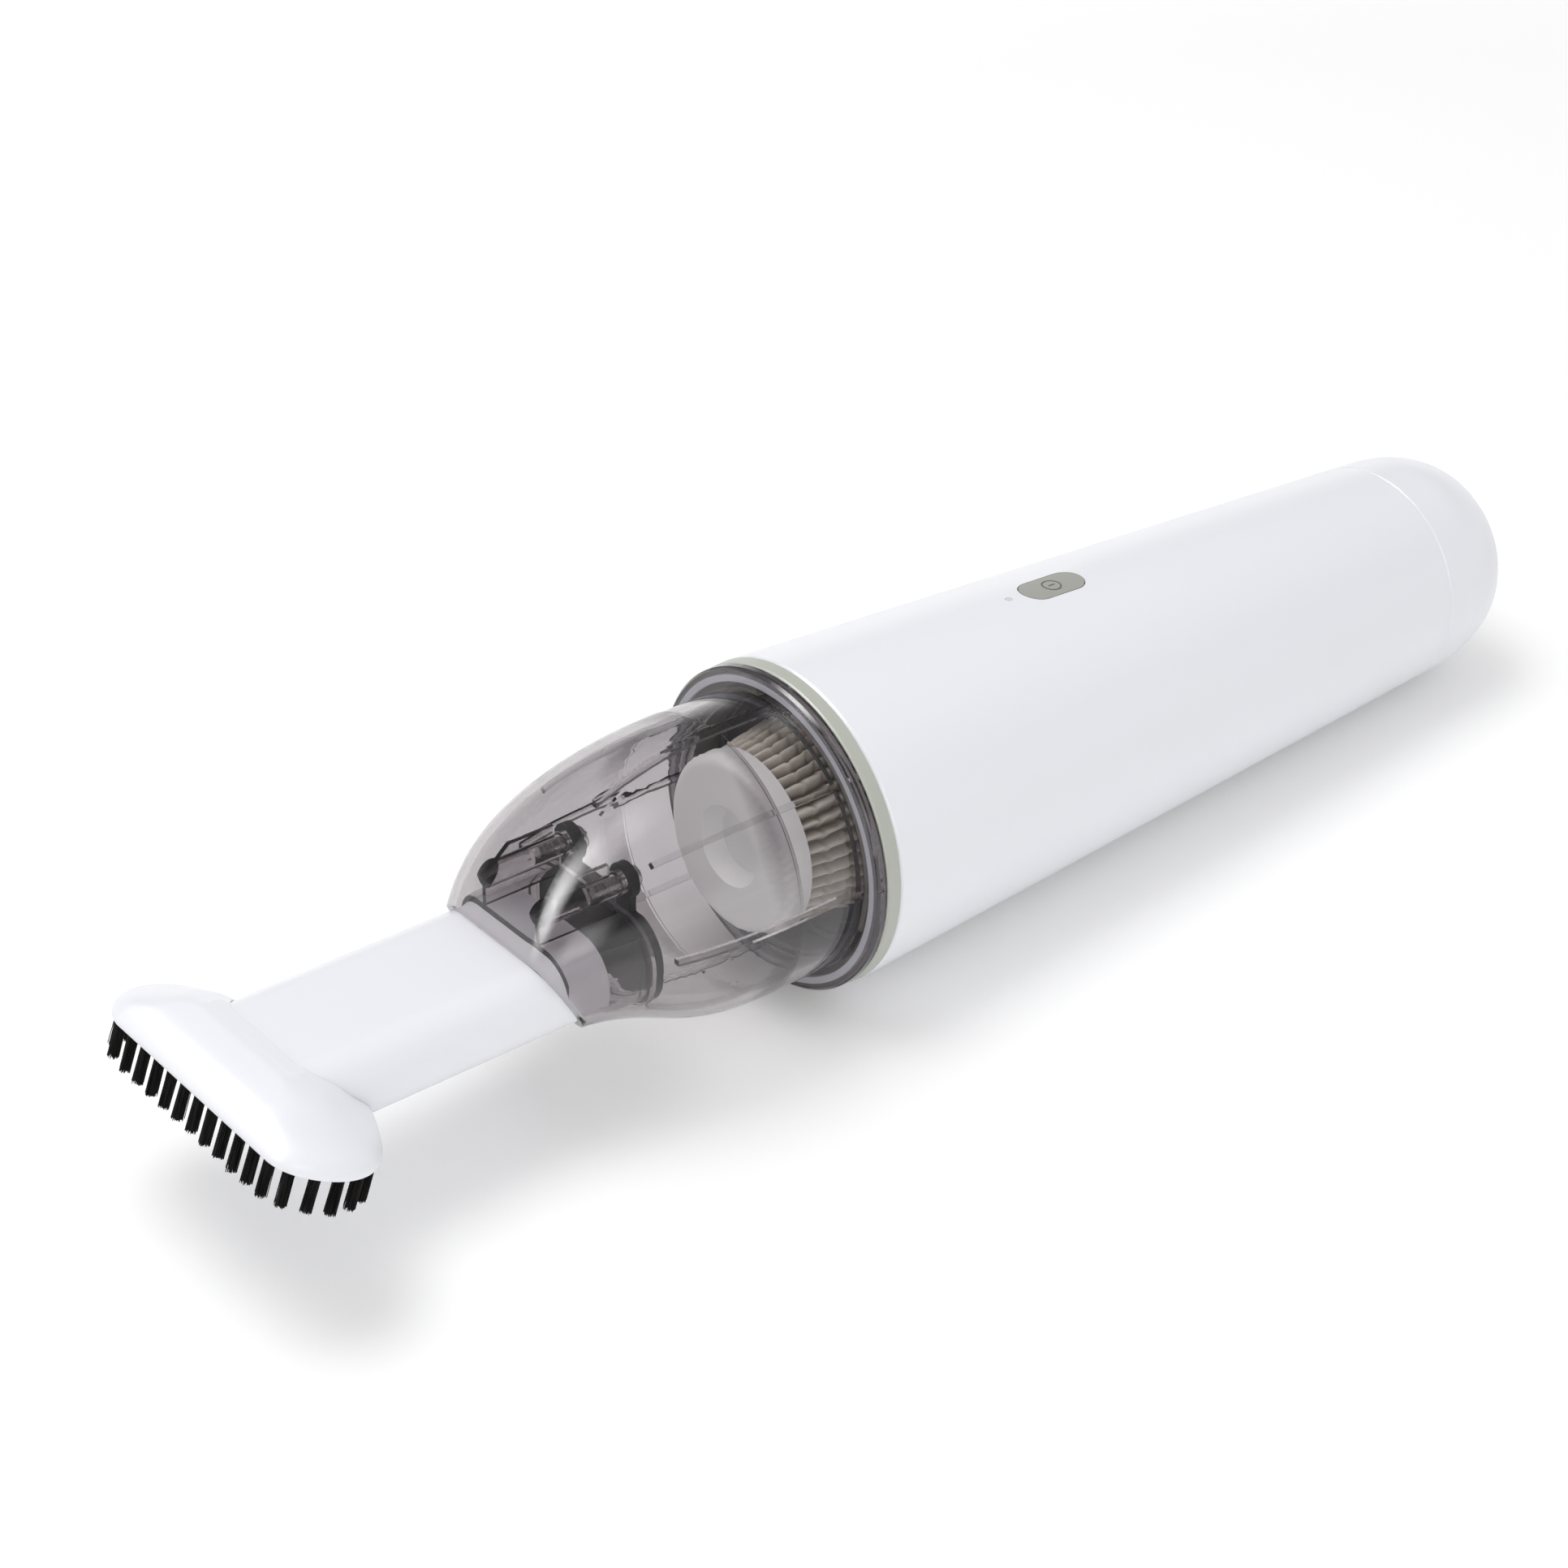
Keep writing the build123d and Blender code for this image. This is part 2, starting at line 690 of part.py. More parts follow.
def motor_shaft():
    """Steel shaft through both bearings, the rotor and the impeller's hub."""
    return rod(x_motor_rear + gap, x_impeller + hub_length - gap, shaft_radius)


def motor_can():
    """Drawn steel can with end walls and bearing seats."""
    can = tube(x_motor_rear, x_motor, motor_radius) - tube(x_motor_rear + motor_wall, x_motor - motor_wall,
                                                           motor_radius - motor_wall)
    seat = bearing_radius + gap
    for x0 in (x_motor_rear, x_motor - bearing_length):
        can += tube(x0, x0 + bearing_length, seat + bearing_boss_wall, seat)
        can -= rod(x0 - 1, x0 + bearing_length + 1, seat)
    return can


def motor_bearings():
    """Bearing at each end of the can."""
    bore = shaft_radius + shaft_clearance
    return group([tube(x0, x0 + bearing_length, bearing_radius, bore)
                  for x0 in (x_motor_rear, x_motor - bearing_length)])


def motor_rotor():
    """Slotted iron core on the shaft."""
    x0 = (x_motor_rear + x_motor - rotor_length) / 2
    core = tube(x0, x0 + rotor_length, rotor_radius, shaft_radius + press_clearance)
    slot = Rectangle(rotor_radius * 0.16, rotor_radius * 0.5)
    return core - around(prism(slot, x0 - 1, x0 + rotor_length + 1, 0, rotor_radius), evenly(rotor_slot_count))


def motor_magnets():
    """Two curved magnets inside the can."""
    x0 = (x_motor_rear + x_motor - magnet_length) / 2
    x1 = x0 + magnet_length
    arc = wedge(magnet_outer_radius, magnet_angle, x0, x1) - tube(x0 - 1, x1 + 1, magnet_inner_radius)
    return group(around(arc, evenly(2)))


def cushion(x0, length, radius):
    """Rubber ring that holds one end of the motor."""
    return tube(x0, x0 + length, radius, cushion_bore)


# Front ring with the bayonet socket

lug_angles = evenly(lug_count)


def front_ring():
    """Trim band, entry land, lug track, filter shoulder and skirt."""
    skirt_radius = bore_radius(x_skirt) - gap
    ring = turned(
        (x_front, body_radius(x_front) - edge_bevel),
        (x_front + edge_bevel / 2, front_radius),
        (x_band - edge_bevel / 2, front_radius - ring_taper_drop),
        (x_band, front_radius - ring_taper_drop - edge_bevel / 2),
        (x_band, socket_land_radius),
        (x_land_rear, socket_land_radius),
        (x_land_rear, track_radius),
        (x_shoulder, track_radius),
        (x_shoulder, socket_shoulder_radius),
        (x_shoulder_rear, socket_shoulder_radius),
        (x_shoulder_rear, skirt_radius - skirt_wall),
        (x_skirt, skirt_radius - skirt_wall),
        (x_skirt, skirt_radius),
        (x_front, skirt_radius),
    )
    entry = wedge(track_radius, lug_angle + 2 * lug_play_angle, x_land_rear - 0.5, x_band + 0.5)
    return ring - around(entry, lug_angles)


# Dust cup

mouth_half_width = nozzle_width / 2 + mouth_lip
mouth_half_height = nozzle_height / 2 + mouth_lip
mouth_corner = nozzle_corner + mouth_lip


def cup_section(share, inset):
    """Section of the cup at a share of the way from the mouth (0) to the round stretch (1)."""
    wide = 1 - (1 - share) ** 2.66
    tall = 1 - (1 - share) ** 2
    lowered = (1 - share) ** 5.6
    x = x_mouth + (x_straight - x_mouth) * share
    z = -nozzle_drop * lowered
    rake = mouth_rake * (1 - share) ** 2
    half_width = mouth_half_width + (cup_radius - mouth_half_width) * wide - inset
    half_height = mouth_half_height + (cup_radius - mouth_half_height) * tall - inset
    corner = mouth_corner + (cup_radius - mouth_corner) * tall - inset
    corner = min(corner, half_width - 0.5, half_height - 0.5)
    plane = Plane(origin=(x, 0, z), x_dir=(0, 1, 0), z_dir=(1, 0, -rake))
    stretch = math.sqrt(1 + rake ** 2)
    return plane * RectangleRounded(2 * half_width, 2 * half_height * stretch, corner)


def cup_form(inset, x_rear):
    """Solid form of the cup from its mouth to its round end, moved inwards by a wall."""
    nose = loft([cup_section(share, inset) for share in (0.0, 0.06, 0.17, 0.34, 0.55, 0.78, 1.0)])
    return nose + tube(x_rear, x_straight, cup_radius - inset)


def cup_ribs():
    """Slim ribs that follow the inside of the cup."""
    x_end = x_cup + cup_rib_length
    slab = prism(Rectangle(cup_rib_width, front_radius), x_cup, x_end, 0, front_radius / 2)
    band = cup_form(cup_wall / 2, x_cup) - cup_form(cup_wall + cup_rib_height, x_cup - 1)
    return [piece & band for piece in around(slab, evenly(cup_rib_count))]


def inlet_duct():
    """Duct with its rim and the two screw posts with their ribs, set into the cup's nose."""
    duct = nozzle_prism(x_duct, x_mouth, duct_grow)
    duct += nozzle_prism(x_duct, x_duct + duct_rim_length, duct_grow + duct_rim)
    for side in (-1, 1):
        y = side * post_offset
        duct += rod(x_duct, x_mouth, post_radius, y, post_height)
        web_height = post_height - duct_top
        web = Rectangle(post_rib_width, web_height + 2 * gap)
        duct += prism(web, x_duct + duct_rim_length, x_mouth, y, duct_top + web_height / 2)
        fin = Rectangle(post_rib_width, 2 * post_radius)
        duct += prism(fin, x_duct + 2 * duct_rim_length, x_mouth, y, post_height + post_radius)
    duct &= cup_form(cup_wall + gap, x_cup)
    for side in (-1, 1):
        duct -= rod(x_duct - 1, x_duct + post_hole_depth, screw_radius + gap, side * post_offset, post_height)
    return duct - nozzle_prism(x_duct - 1, x_mouth + nozzle_height, slip / 2)


def dust_cup():
    """Clear cup with flange, collar, lugs and ribs."""
    cup = cup_form(0.0, x_flange + flange_thickness / 2) - cup_form(cup_wall, x_flange - flange_thickness)
    cup += turned(
        (x_flange, collar_radius - collar_wall),
        (x_cup, collar_radius - collar_wall),
        (x_cup, flange_radius - edge_bevel),
        (x_cup - edge_bevel, flange_radius),
        (x_flange + edge_bevel / 2, flange_radius),
        (x_flange, flange_radius - edge_bevel / 2),
    )
    x_collar = x_shoulder + filter_seal_thickness + 3 * gap
    cup += tube(x_collar, x_flange + flange_thickness / 2, collar_radius, collar_radius - collar_wall)
    x_lug = x_land_rear - 2 * gap - lug_length
    lug = wedge(track_radius - slip, lug_angle, x_lug, x_lug + lug_length)
    lug -= tube(x_lug - 1, x_lug + lug_length + 1, collar_radius - collar_wall / 2)
    cup += around(lug, lug_angles)
    cup += cup_ribs()
    cup -= nozzle_prism(x_duct - 1, x_mouth + nozzle_height, slip / 2)
    tick = prism(Rectangle(tick_width, edge_bevel), x_cup - tick_length, x_cup + 1, 0, flange_radius)
    return cup - Rot(tick_angle - 90, 0, 0) * tick


def cup_seal():
    """Gasket between the cup's collar and the shoulder of its socket."""
    return tube(x_shoulder + gap, x_shoulder + filter_seal_thickness + 2 * gap, track_radius - slip,
                filter_seal_radius + slip)


# Flap valve

x_hanger = x_duct - gap - flap_thickness
hinge_height = duct_top + 2 * gap
x_washer = x_hanger - washer_thickness


def above(height):
    """Everything above a height, round the flap."""
    return prism(Rectangle(3 * front_radius, front_radius), x_hanger - 1, x_duct, 0, height + front_radius / 2)


def flap_door():
    """Door that covers the inner end of the duct."""
    return nozzle_prism(x_hanger, x_duct - gap, duct_grow + flap_overhang) - above(hinge_height)


def flap_hanger():
    """Upper part of the valve with an ear on each screw post."""
    bar = Rectangle(2 * post_offset, flap_bar_height)
    hanger = prism(bar, x_hanger, x_duct - gap, 0, hinge_height + gap + flap_bar_height / 2)
    neck_height = post_height - hinge_height - gap
    for side in (-1, 1):
        y = side * post_offset
        neck = Rectangle(flap_neck_width, neck_height)
        hanger += prism(neck, x_hanger, x_duct - gap, y, post_height - neck_height / 2)
        hanger += rod(x_hanger, x_duct - gap, flap_ear_radius, y, post_height)
        hanger -= rod(x_hanger - 1, x_duct, screw_radius + gap, y, post_height)
    return hanger & above(hinge_height + gap)


def flap_washers():
    """Washer under each screw head."""
    ring = Circle(washer_radius) - Circle(screw_radius + gap)
    return group([prism(ring, x_washer, x_hanger, side * post_offset, post_height) for side in (-1, 1)])


def flap_screws():
    """Screws through the washers and ears into the posts."""
    x_end = x_washer + flap_screw_length
    return group([screw(x_washer, x_end, side * post_offset, post_height, screw_radius, 1) for side in (-1, 1)])


# Filter

x_seal_front = x_shoulder + gap + filter_seal_thickness
x_pleats = x_seal_front + gap
x_end_cap = x_pleats + pleats_length


def filter_seal():
    """Sealing ring round the filter's foot."""
    return tube(x_shoulder + gap, x_seal_front, filter_seal_radius, plug_radius - filter_plug_wall + gap)


def filter_base():
    """Plug that slides into the socket's shoulder and carries the seal."""
    core_bore = core_radius - core_wall
    base = tube(x_shoulder - filter_plug_length, x_shoulder + gap, plug_radius, plug_radius - filter_plug_wall)
    base += tube(x_shoulder - filter_plug_floor, x_shoulder + gap, plug_radius - gap, core_bore)
    return base + tube(x_shoulder, x_seal_front, plug_radius - filter_plug_wall, core_bore)


def pleat_outline(x, radius):
    """Zigzag outline of the folded paper at one station."""
    points = []
    for k in range(2 * pleat_count):
        angle = math.pi * k / pleat_count
        reach = radius - pleat_depth * (k % 2)
        points.append((reach * math.cos(angle), reach * math.sin(angle)))
    return Plane.YZ.offset(x) * make_face(Polyline(*points, close=True))


def filter_pleats():
    """Folded paper cone round the core."""
    rear = pleat_outline(x_pleats, filter_rear_radius)
    front = pleat_outline(x_end_cap, filter_front_radius)
    return loft([rear, front], ruled=True) - tube(x_pleats - 1, x_end_cap + 1, core_radius + gap)


def filter_core():
    """Slotted tube inside the paper."""
    core = tube(x_pleats, x_end_cap, core_radius, core_radius - core_wall)
    x0 = x_pleats + core_window_margin
    x1 = x_end_cap - core_window_margin
    window = prism(Rectangle(core_window_width, core_radius), x0, x1, 0, core_radius)
    return core - around(window, evenly(core_window_count))


def filter_end_cap():
    """Rounded cap with a dished middle."""
    x_face = x_end_cap + end_cap_length
    cap = tube(x_end_cap, x_face, end_cap_radius)
    cap = fillet(cap.edges().group_by(Axis.X)[-1], end_cap_round)
    x_dish = x_face - end_cap_dish_depth
    dish_radius = end_cap_radius - end_cap_rim
    return cap - turned((x_dish, 0), (x_dish, dish_radius - end_cap_dish_slope), (x_face, dish_radius),
                        (x_face + 1, dish_radius), (x_face + 1, 0))


# Brush hood, nozzle tube and bristles

tilt = math.radians(hood_tilt)
away = (-math.cos(tilt), 0, math.sin(tilt))
hood_end = hood_front + hood_end_extra
hood_rear = hood_front + hood_rear_extra
split_line = hood_half_length - hood_end + math.sqrt(hood_end_extra * (2 * (hood_end - hood_corner) - hood_end_extra))


def hood_plane(height):
    """Plane parallel to the hood's lower face: x across, y forwards, z away from the bristles."""
    origin = (x_hood + away[0] * height, 0, -hood_drop + away[2] * height)
    return Plane(origin=origin, x_dir=(0, -1, 0), z_dir=away)


def outline_edges(inset, front=1.0, rear=1.0, shorter=0.0):
    """Edges of the hood's outline: front line, corner, end arc, rear arc, and the mirrored end."""
    a = hood_half_length - shorter - inset
    f = hood_front * front - inset
    r = hood_rear * rear - inset
    e = hood_end * front - inset
    c = max(hood_corner * front - inset, 0.3 * f)
    end_x = a - e
    step_x = math.sqrt((e - c) ** 2 - (f - c) ** 2)
    toward = ((step_x / (e - c)), (f - c) / (e - c))
    lean = math.hypot(toward[0], toward[1] + 1)
    rear_y = (end_x ** 2 - (r - e) ** 2) / (2 * (r - e))
    rear_radius = rear_y + r
    rear_reach = math.hypot(end_x, rear_y)
    front_point = (end_x + step_x, f)
    corner_mid = (end_x + step_x + c * toward[0] / lean, f - c + c * (toward[1] + 1) / lean)
    end_point = (end_x + e * toward[0], e * toward[1])
    rear_point = (rear_radius * end_x / rear_reach, rear_y - rear_radius * rear_y / rear_reach)

    def other(point):
        return (-point[0], point[1])

    return [
        Line(other(front_point), front_point),
        ThreePointArc(front_point, corner_mid, end_point),
        ThreePointArc(end_point, (a, 0), rear_point),
        ThreePointArc(rear_point, (0, -r), other(rear_point)),
        ThreePointArc(other(rear_point), (-a, 0), other(end_point)),
        ThreePointArc(other(end_point), other(corner_mid), other(front_point)),
    ]


def hood_outline(inset, *shares):
    """Face inside the hood's outline."""
    return make_face(outline_edges(inset, *shares))


def hood_dome():
    """Outer form: upright foot, sloping flank and low crown."""
    return loft([hood_plane(hood_height * level) * hood_outline(0.0, *shares) for level, *shares in hood_levels])


def hood_hollow():
    """Space inside the hood: the dome's levels, lower and moved inwards, open at the lower face."""
    flank = hood_levels[1:-1]
    space = loft([hood_plane(hood_ceiling * level) * hood_outline(hood_wall, *shares) for level, *shares in flank])
    lowest = hood_ceiling * flank[0][0]
    return space + extrude(hood_plane(lowest) * hood_outline(hood_wall, *flank[0][1:]), -lowest - gap)


def below(height):
    """Everything on the bristle side of a plane over the hood's lower face."""
    return extrude(hood_plane(height) * Rectangle(far, far), -far)


def foot_ring(outer, inner, height):
    """Ring over the hood's lower face, between two insets."""
    return extrude(hood_plane(0.0) * (hood_outline(outer) - hood_outline(inner)), height)


def brush_head():
    """Hollow hood with a foot groove for the bristles and a sleeve for the nozzle."""
    solid = hood_dome()
    hood = solid - hood_hollow()
    hood += foot_ring(hood_foot_inset, hood_foot_width, hood_foot_height)
    bore = nozzle_prism(x_tip - nozzle_length, x_tip + slip, slip / 2)
    sleeve = nozzle_prism(x_tip - nozzle_length, x_tip - sleeve_setback, slip / 2 + sleeve_wall) - bore
    hood += (sleeve & solid) - below(hood_foot_height)
    hood -= bore - below(hood_foot_height)
    plain_rear = Pos(0, -hood_half_length / 2) * Rectangle(2 * (split_line - gap), hood_half_length)
    groove = foot_ring(bristle_inset, bristle_inset + bristle_strip, bristle_slice + gap)
    return hood - (groove - extrude(hood_plane(0.0) * plain_rear, hood_height))


def nozzle_tube():
    """Flat tube with a notch in its lower tip, over the hood's foot."""
    x0 = x_mouth - spigot_length
    body = nozzle_prism(x0, x_tip, 0.0) - nozzle_prism(x0 - 1, x_tip + 1, -nozzle_wall)
    fullest_rear = hood_rear * max(rear for level, front, rear, shorter in hood_levels)
    notch = Pos(0, far / 2 - fullest_rear - slip) * Rectangle(far, far)
    return body - extrude(hood_plane(hood_foot_height + slip) * notch, -far)


def tufts_along(path):
    """Strand places on one stretch of the bristle line, in the hood's plane."""
    count = max(1, round(path.length / tuft_pitch))
    places = []
    for k in range(count):
        middle = path.position_at((k + 0.5) / count)
        direction = path.tangent_at((k + 0.5) / count)
        turn = math.degrees(math.atan2(direction.Y, direction.X))
        for i in range(tuft_columns):
            for j in range(tuft_rows):
                along = (i - (tuft_columns - 1) / 2) * strand_pitch
                across = (j - (tuft_rows - 1) / 2) * strand_pitch
                places.append(Pos(middle.X, middle.Y) * Rot(0, 0, turn) * Pos(along, across))
    return places


def bristle_strip_at(path, window):
    """Slice of backing inside a window, with its strands joined in one step."""
    ring = hood_outline(bristle_inset + gap) - hood_outline(bristle_inset + bristle_strip - gap)
    backing = extrude(hood_plane(gap) * (ring & window), bristle_slice)
    strand = RegularPolygon(bristle_radius, 3)
    strands = [extrude(hood_plane(strand_root) * place * strand, -(bristle_length + strand_root))
               for place in tufts_along(path)]
    return backing + strands, len(strands)


def bristles():
    """Three strips on the hood's lower face; its rear edge, under the nozzle, has none."""
    edges = outline_edges(bristle_inset + bristle_strip / 2)
    reach = hood_half_length
    side = Rectangle(reach, 2 * reach)
    return {
        "bristles_front": bristle_strip_at(edges[0], Pos(0, reach / 2) * Rectangle(2 * split_line, reach)),
        "bristles_right": bristle_strip_at(Wire(edges[1:3]), Pos(split_line + reach / 2, 0) * side),
        "bristles_left": bristle_strip_at(Wire(edges[4:6]), Pos(-split_line - reach / 2, 0) * side),
    }


parts = {
    "main_housing": main_housing(),
    "rear_cap": rear_cap(),
    "cap_screws": cap_screws(),
    "charging_socket": charging_socket(),
    "charging_board": charging_board(),
    "front_ring": front_ring(),
    "power_button": power_button(),
    "light_pipe": light_pipe(),
    "indicator_light": indicator_light(),
    "circuit_board": circuit_board(),
    "board_screws": board_screws(),
    "switch_body": switch_body(),
    "battery_holder": battery_holder(),
    "battery_cells": battery_cells(),
    "battery_tabs": battery_tabs(),
    "fan_cover": fan_cover(),
    "motor_housing": motor_housing(),
    "diffuser": diffuser(),
    "impeller": impeller(),
    "motor_shaft": motor_shaft(),
    "motor_can": motor_can(),
    "motor_bearings": motor_bearings(),
    "motor_rotor": motor_rotor(),
    "motor_magnets": motor_magnets(),
    "motor_front_cushion": cushion(x_motor + gap, cushion_front, motor_radius),
    "motor_rear_cushion": cushion(x_motor_cup + gap, cushion_rear, motor_radius),
    "dust_cup": dust_cup(),
    "inlet_duct": inlet_duct(),
    "cup_seal": cup_seal(),
    "flap_door": flap_door(),
    "flap_hanger": flap_hanger(),
    "flap_washers": flap_washers(),
    "flap_screws": flap_screws(),
    "filter_seal": filter_seal(),
    "filter_base": filter_base(),
    "filter_pleats": filter_pleats(),
    "filter_core": filter_core(),
    "filter_end_cap": filter_end_cap(),
    "nozzle_tube": nozzle_tube(),
    "brush_head": brush_head(),
}
strand_total = 0
for name, (strip, strand_count) in bristles().items():
    parts[name] = strip
    strand_total += strand_count

os.makedirs("parts", exist_ok=True)
for name, shape in parts.items():
    export_step(shape, f"parts/{name}.step")
print("nodes", len(parts), "strands", strand_total, "mouth", round(x_mouth, 2), "hood", round(x_hood, 2))
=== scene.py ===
"""Looks of the cordless handheld vacuum cleaner: finishes, fine pieces, studio and camera.

Metres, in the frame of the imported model: +X runs along the body to the nozzle, +Z is the button side.
"""

import json
import math

import bmesh
import bpy
from mathutils import Matrix, Vector


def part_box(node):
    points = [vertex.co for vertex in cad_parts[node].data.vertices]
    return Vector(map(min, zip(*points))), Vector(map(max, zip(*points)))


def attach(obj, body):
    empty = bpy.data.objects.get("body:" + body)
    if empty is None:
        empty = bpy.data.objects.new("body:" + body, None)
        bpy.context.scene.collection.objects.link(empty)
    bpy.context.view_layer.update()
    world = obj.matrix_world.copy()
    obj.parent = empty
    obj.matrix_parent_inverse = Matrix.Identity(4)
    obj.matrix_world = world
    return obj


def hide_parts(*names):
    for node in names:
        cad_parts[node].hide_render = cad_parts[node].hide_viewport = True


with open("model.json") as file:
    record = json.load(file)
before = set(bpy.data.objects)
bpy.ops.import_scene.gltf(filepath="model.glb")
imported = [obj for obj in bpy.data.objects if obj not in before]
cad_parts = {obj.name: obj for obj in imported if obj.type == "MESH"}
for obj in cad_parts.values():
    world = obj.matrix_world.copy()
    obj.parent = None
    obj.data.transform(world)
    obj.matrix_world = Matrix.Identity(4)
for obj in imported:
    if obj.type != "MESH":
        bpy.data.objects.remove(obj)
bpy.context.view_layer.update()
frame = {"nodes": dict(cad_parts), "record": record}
nodes = frame["nodes"]
mm = 0.001

# Body
front_radius = 37.5 * mm
body_front_x = 213.0 * mm
body_taper = 3.0                # degrees
body_middle = (0.19, 0.0, 0.0)

# Cup
cup_radius = 32.25 * mm
# Flange band of painted light: pale and half clear, for the lit ring seen through the flange
painted_light_band = (33.9 * mm, 35.5 * mm)
band_reach = (31.0 * mm, 38.0 * mm)
fine_edge = 0.10 * mm
soft_edge = 0.15 * mm
smoke_colour = (0.50, 0.465, 0.48, 1.0)
smoke_density = 205.0           # per metre of wall

# Brush hood and its bristle line
hood_forward_x = 351.9 * mm
hood_drop = 8.2 * mm
hood_tilt = 69.4                # degrees, bristle direction below the nozzle's axis
hood_half_length = 37.8 * mm
hood_front = 12.7 * mm
hood_end_extra = 2.0 * mm
hood_rear_extra = 6.3 * mm
hood_corner = 9.1 * mm
bristle_line_inset = 1.9 * mm
bristle_radius = 0.11 * mm
bristle_tip_share = 0.8         # of the radius
bristle_sides = 5
bristle_segments = 2
bristle_root = 0.35 * mm
bristle_shift = 0.09 * mm
bristle_lean = 1.2              # degrees
bristle_length_share = (0.90, 0.98)
bristle_trim_share = (-0.03, 0.02)
bristle_trim_scale = 260.0
front_bristle_length = 8.6 * mm
end_bristle_length = 8.1 * mm
roots_across_tuft = 11
tuft_round_share = 0.51         # of the tuft's width, from its middle to the last roots
tuft_width = 2.2 * mm
tuft_pitch = 5.05 * mm
first_front_tuft = 31.35 * mm   # along the bristle line, from the rear of its left end
tufts_at_an_end = 6
tufts_in_front = 11

# Filter paper
pleat_count = 44
pleat_depth = 3.8 * mm
pleat_steps = 10                # round one fold
pleat_flank_power = 1.1
pleat_shallow_share = 0.12      # of the depth, at the shallowest fold
sway_of_a_fold = 0.13           # of its width
sway_along_a_fold = 0.05
paper_rows = 30
paper_taper = 2.4 * mm
paper_thickness = 0.28 * mm
emboss_rows = (0.36, 0.68)
emboss_width = 0.035
emboss_depth = 0.14 * mm
emboss_kink = 0.16              # of a fold
emboss_shade = 0.35

# Mark on the power button
mark_radius = 2.35 * mm
mark_line = 0.32 * mm
mark_height = 0.05 * mm
mark_bar = 1.8 * mm
mark_steps = 48
mark_bar_steps = 6

# Studio
floor_half_size = 4.0
floor_white = 0.93
floor_lift = 0.10
far_floor_lift = 0.45
floor_lift_grows = (0.4, 1.3)   # distances from the middle
world_light = 0.665
ceiling_light = 0.22
ceiling_heights = (0.1, 0.4)    # heights of a direction between which the ceiling dims

# Camera of the photograph, worked out from the round rims of the body
focal_pixels = 4200.0
frame_pixels = 1932.0
camera_place = (0.6182, 0.4777, 0.3981)
camera_right = Vector((-0.7719, 0.6354, 0.0208))
camera_up = Vector((-0.3215, -0.4183, 0.8495))


# Helpers for materials

def material_start(name):
    """New node material and its main parts."""
    material = bpy.data.materials.new(name)
    material.use_nodes = True
    tree = material.node_tree
    return material, tree, tree.nodes["Principled BSDF"]


def link(tree, start, end):
    tree.links.new(start, end)


def object_place(tree, scale=(1.0, 1.0, 1.0)):
    """Object coordinates, stretched by a scale."""
    place = tree.nodes.new("ShaderNodeTexCoord")
    mapping = tree.nodes.new("ShaderNodeMapping")
    mapping.inputs["Scale"].default_value = scale
    link(tree, place.outputs["Object"], mapping.inputs["Vector"])
    return mapping.outputs["Vector"]


def noise(tree, scale, detail=3.0, place=None, roughness=0.5):
    """Noise over the object's own coordinates."""
    texture = tree.nodes.new("ShaderNodeTexNoise")
    texture.inputs["Scale"].default_value = scale
    texture.inputs["Detail"].default_value = detail
    texture.inputs["Roughness"].default_value = roughness
    link(tree, place or object_place(tree), texture.inputs["Vector"])
    return texture.outputs["Fac"]


def spread(tree, value, low, high, from_low=0.3, from_high=0.7, way="LINEAR"):
    """Number that follows a value between two limits."""
    node = tree.nodes.new("ShaderNodeMapRange")
    node.interpolation_type = way
    node.inputs["From Min"].default_value = from_low
    node.inputs["From Max"].default_value = from_high
    node.inputs["To Min"].default_value = low
    node.inputs["To Max"].default_value = high
    link(tree, value, node.inputs["Value"])
    return node.outputs["Result"]


def maths(tree, operation, *values):
    """Result of one operation on values that are sockets or plain numbers."""
    node = tree.nodes.new("ShaderNodeMath")
    node.operation = operation
    for socket, value in zip(node.inputs, values):
        if isinstance(value, (int, float)):
            socket.default_value = value
        else:
            link(tree, value, socket)
    return node.outputs["Value"]


def length_of(tree, vector):
    node = tree.nodes.new("ShaderNodeVectorMath")
    node.operation = "LENGTH"
    link(tree, vector, node.inputs[0])
    return node.outputs["Value"]


def axes_of(tree, vector):
    """Outputs X, Y and Z of a vector."""
    node = tree.nodes.new("ShaderNodeSeparateXYZ")
    link(tree, vector, node.inputs["Vector"])
    return node.outputs


def colour_between(tree, value, first, second, from_low=0.35, from_high=0.65):
    """Colour that follows a value from one to another."""
    ramp = tree.nodes.new("ShaderNodeValToRGB")
    ramp.color_ramp.elements[0].position = from_low
    ramp.color_ramp.elements[0].color = (*first, 1.0)
    ramp.color_ramp.elements[1].position = from_high
    ramp.color_ramp.elements[1].color = (*second, 1.0)
    link(tree, value, ramp.inputs["Fac"])
    return ramp.outputs["Color"]


def multiplied(tree, first, second):
    """Product of two colours."""
    node = tree.nodes.new("ShaderNodeMix")
    node.data_type = "RGBA"
    node.blend_type = "MULTIPLY"
    node.inputs["Factor"].default_value = 1.0
    link(tree, first, node.inputs["A"])
    link(tree, second, node.inputs["B"])
    return node.outputs["Result"]


def chosen(tree, choice, first, second):
    """The first shader where the choice is 0, the second where it is 1."""
    node = tree.nodes.new("ShaderNodeMixShader")
    link(tree, choice, node.inputs["Fac"])
    link(tree, first, node.inputs[1])
    link(tree, second, node.inputs[2])
    return node.outputs["Shader"]


def bump(tree, surface, height, distance, strength=1.0):
    """Bump from a height, joined to the surface."""
    node = tree.nodes.new("ShaderNodeBump")
    node.inputs["Distance"].default_value = distance
    node.inputs["Strength"].default_value = strength
    link(tree, height, node.inputs["Height"])
    link(tree, node.outputs["Normal"], surface.inputs["Normal"])


# Finishes

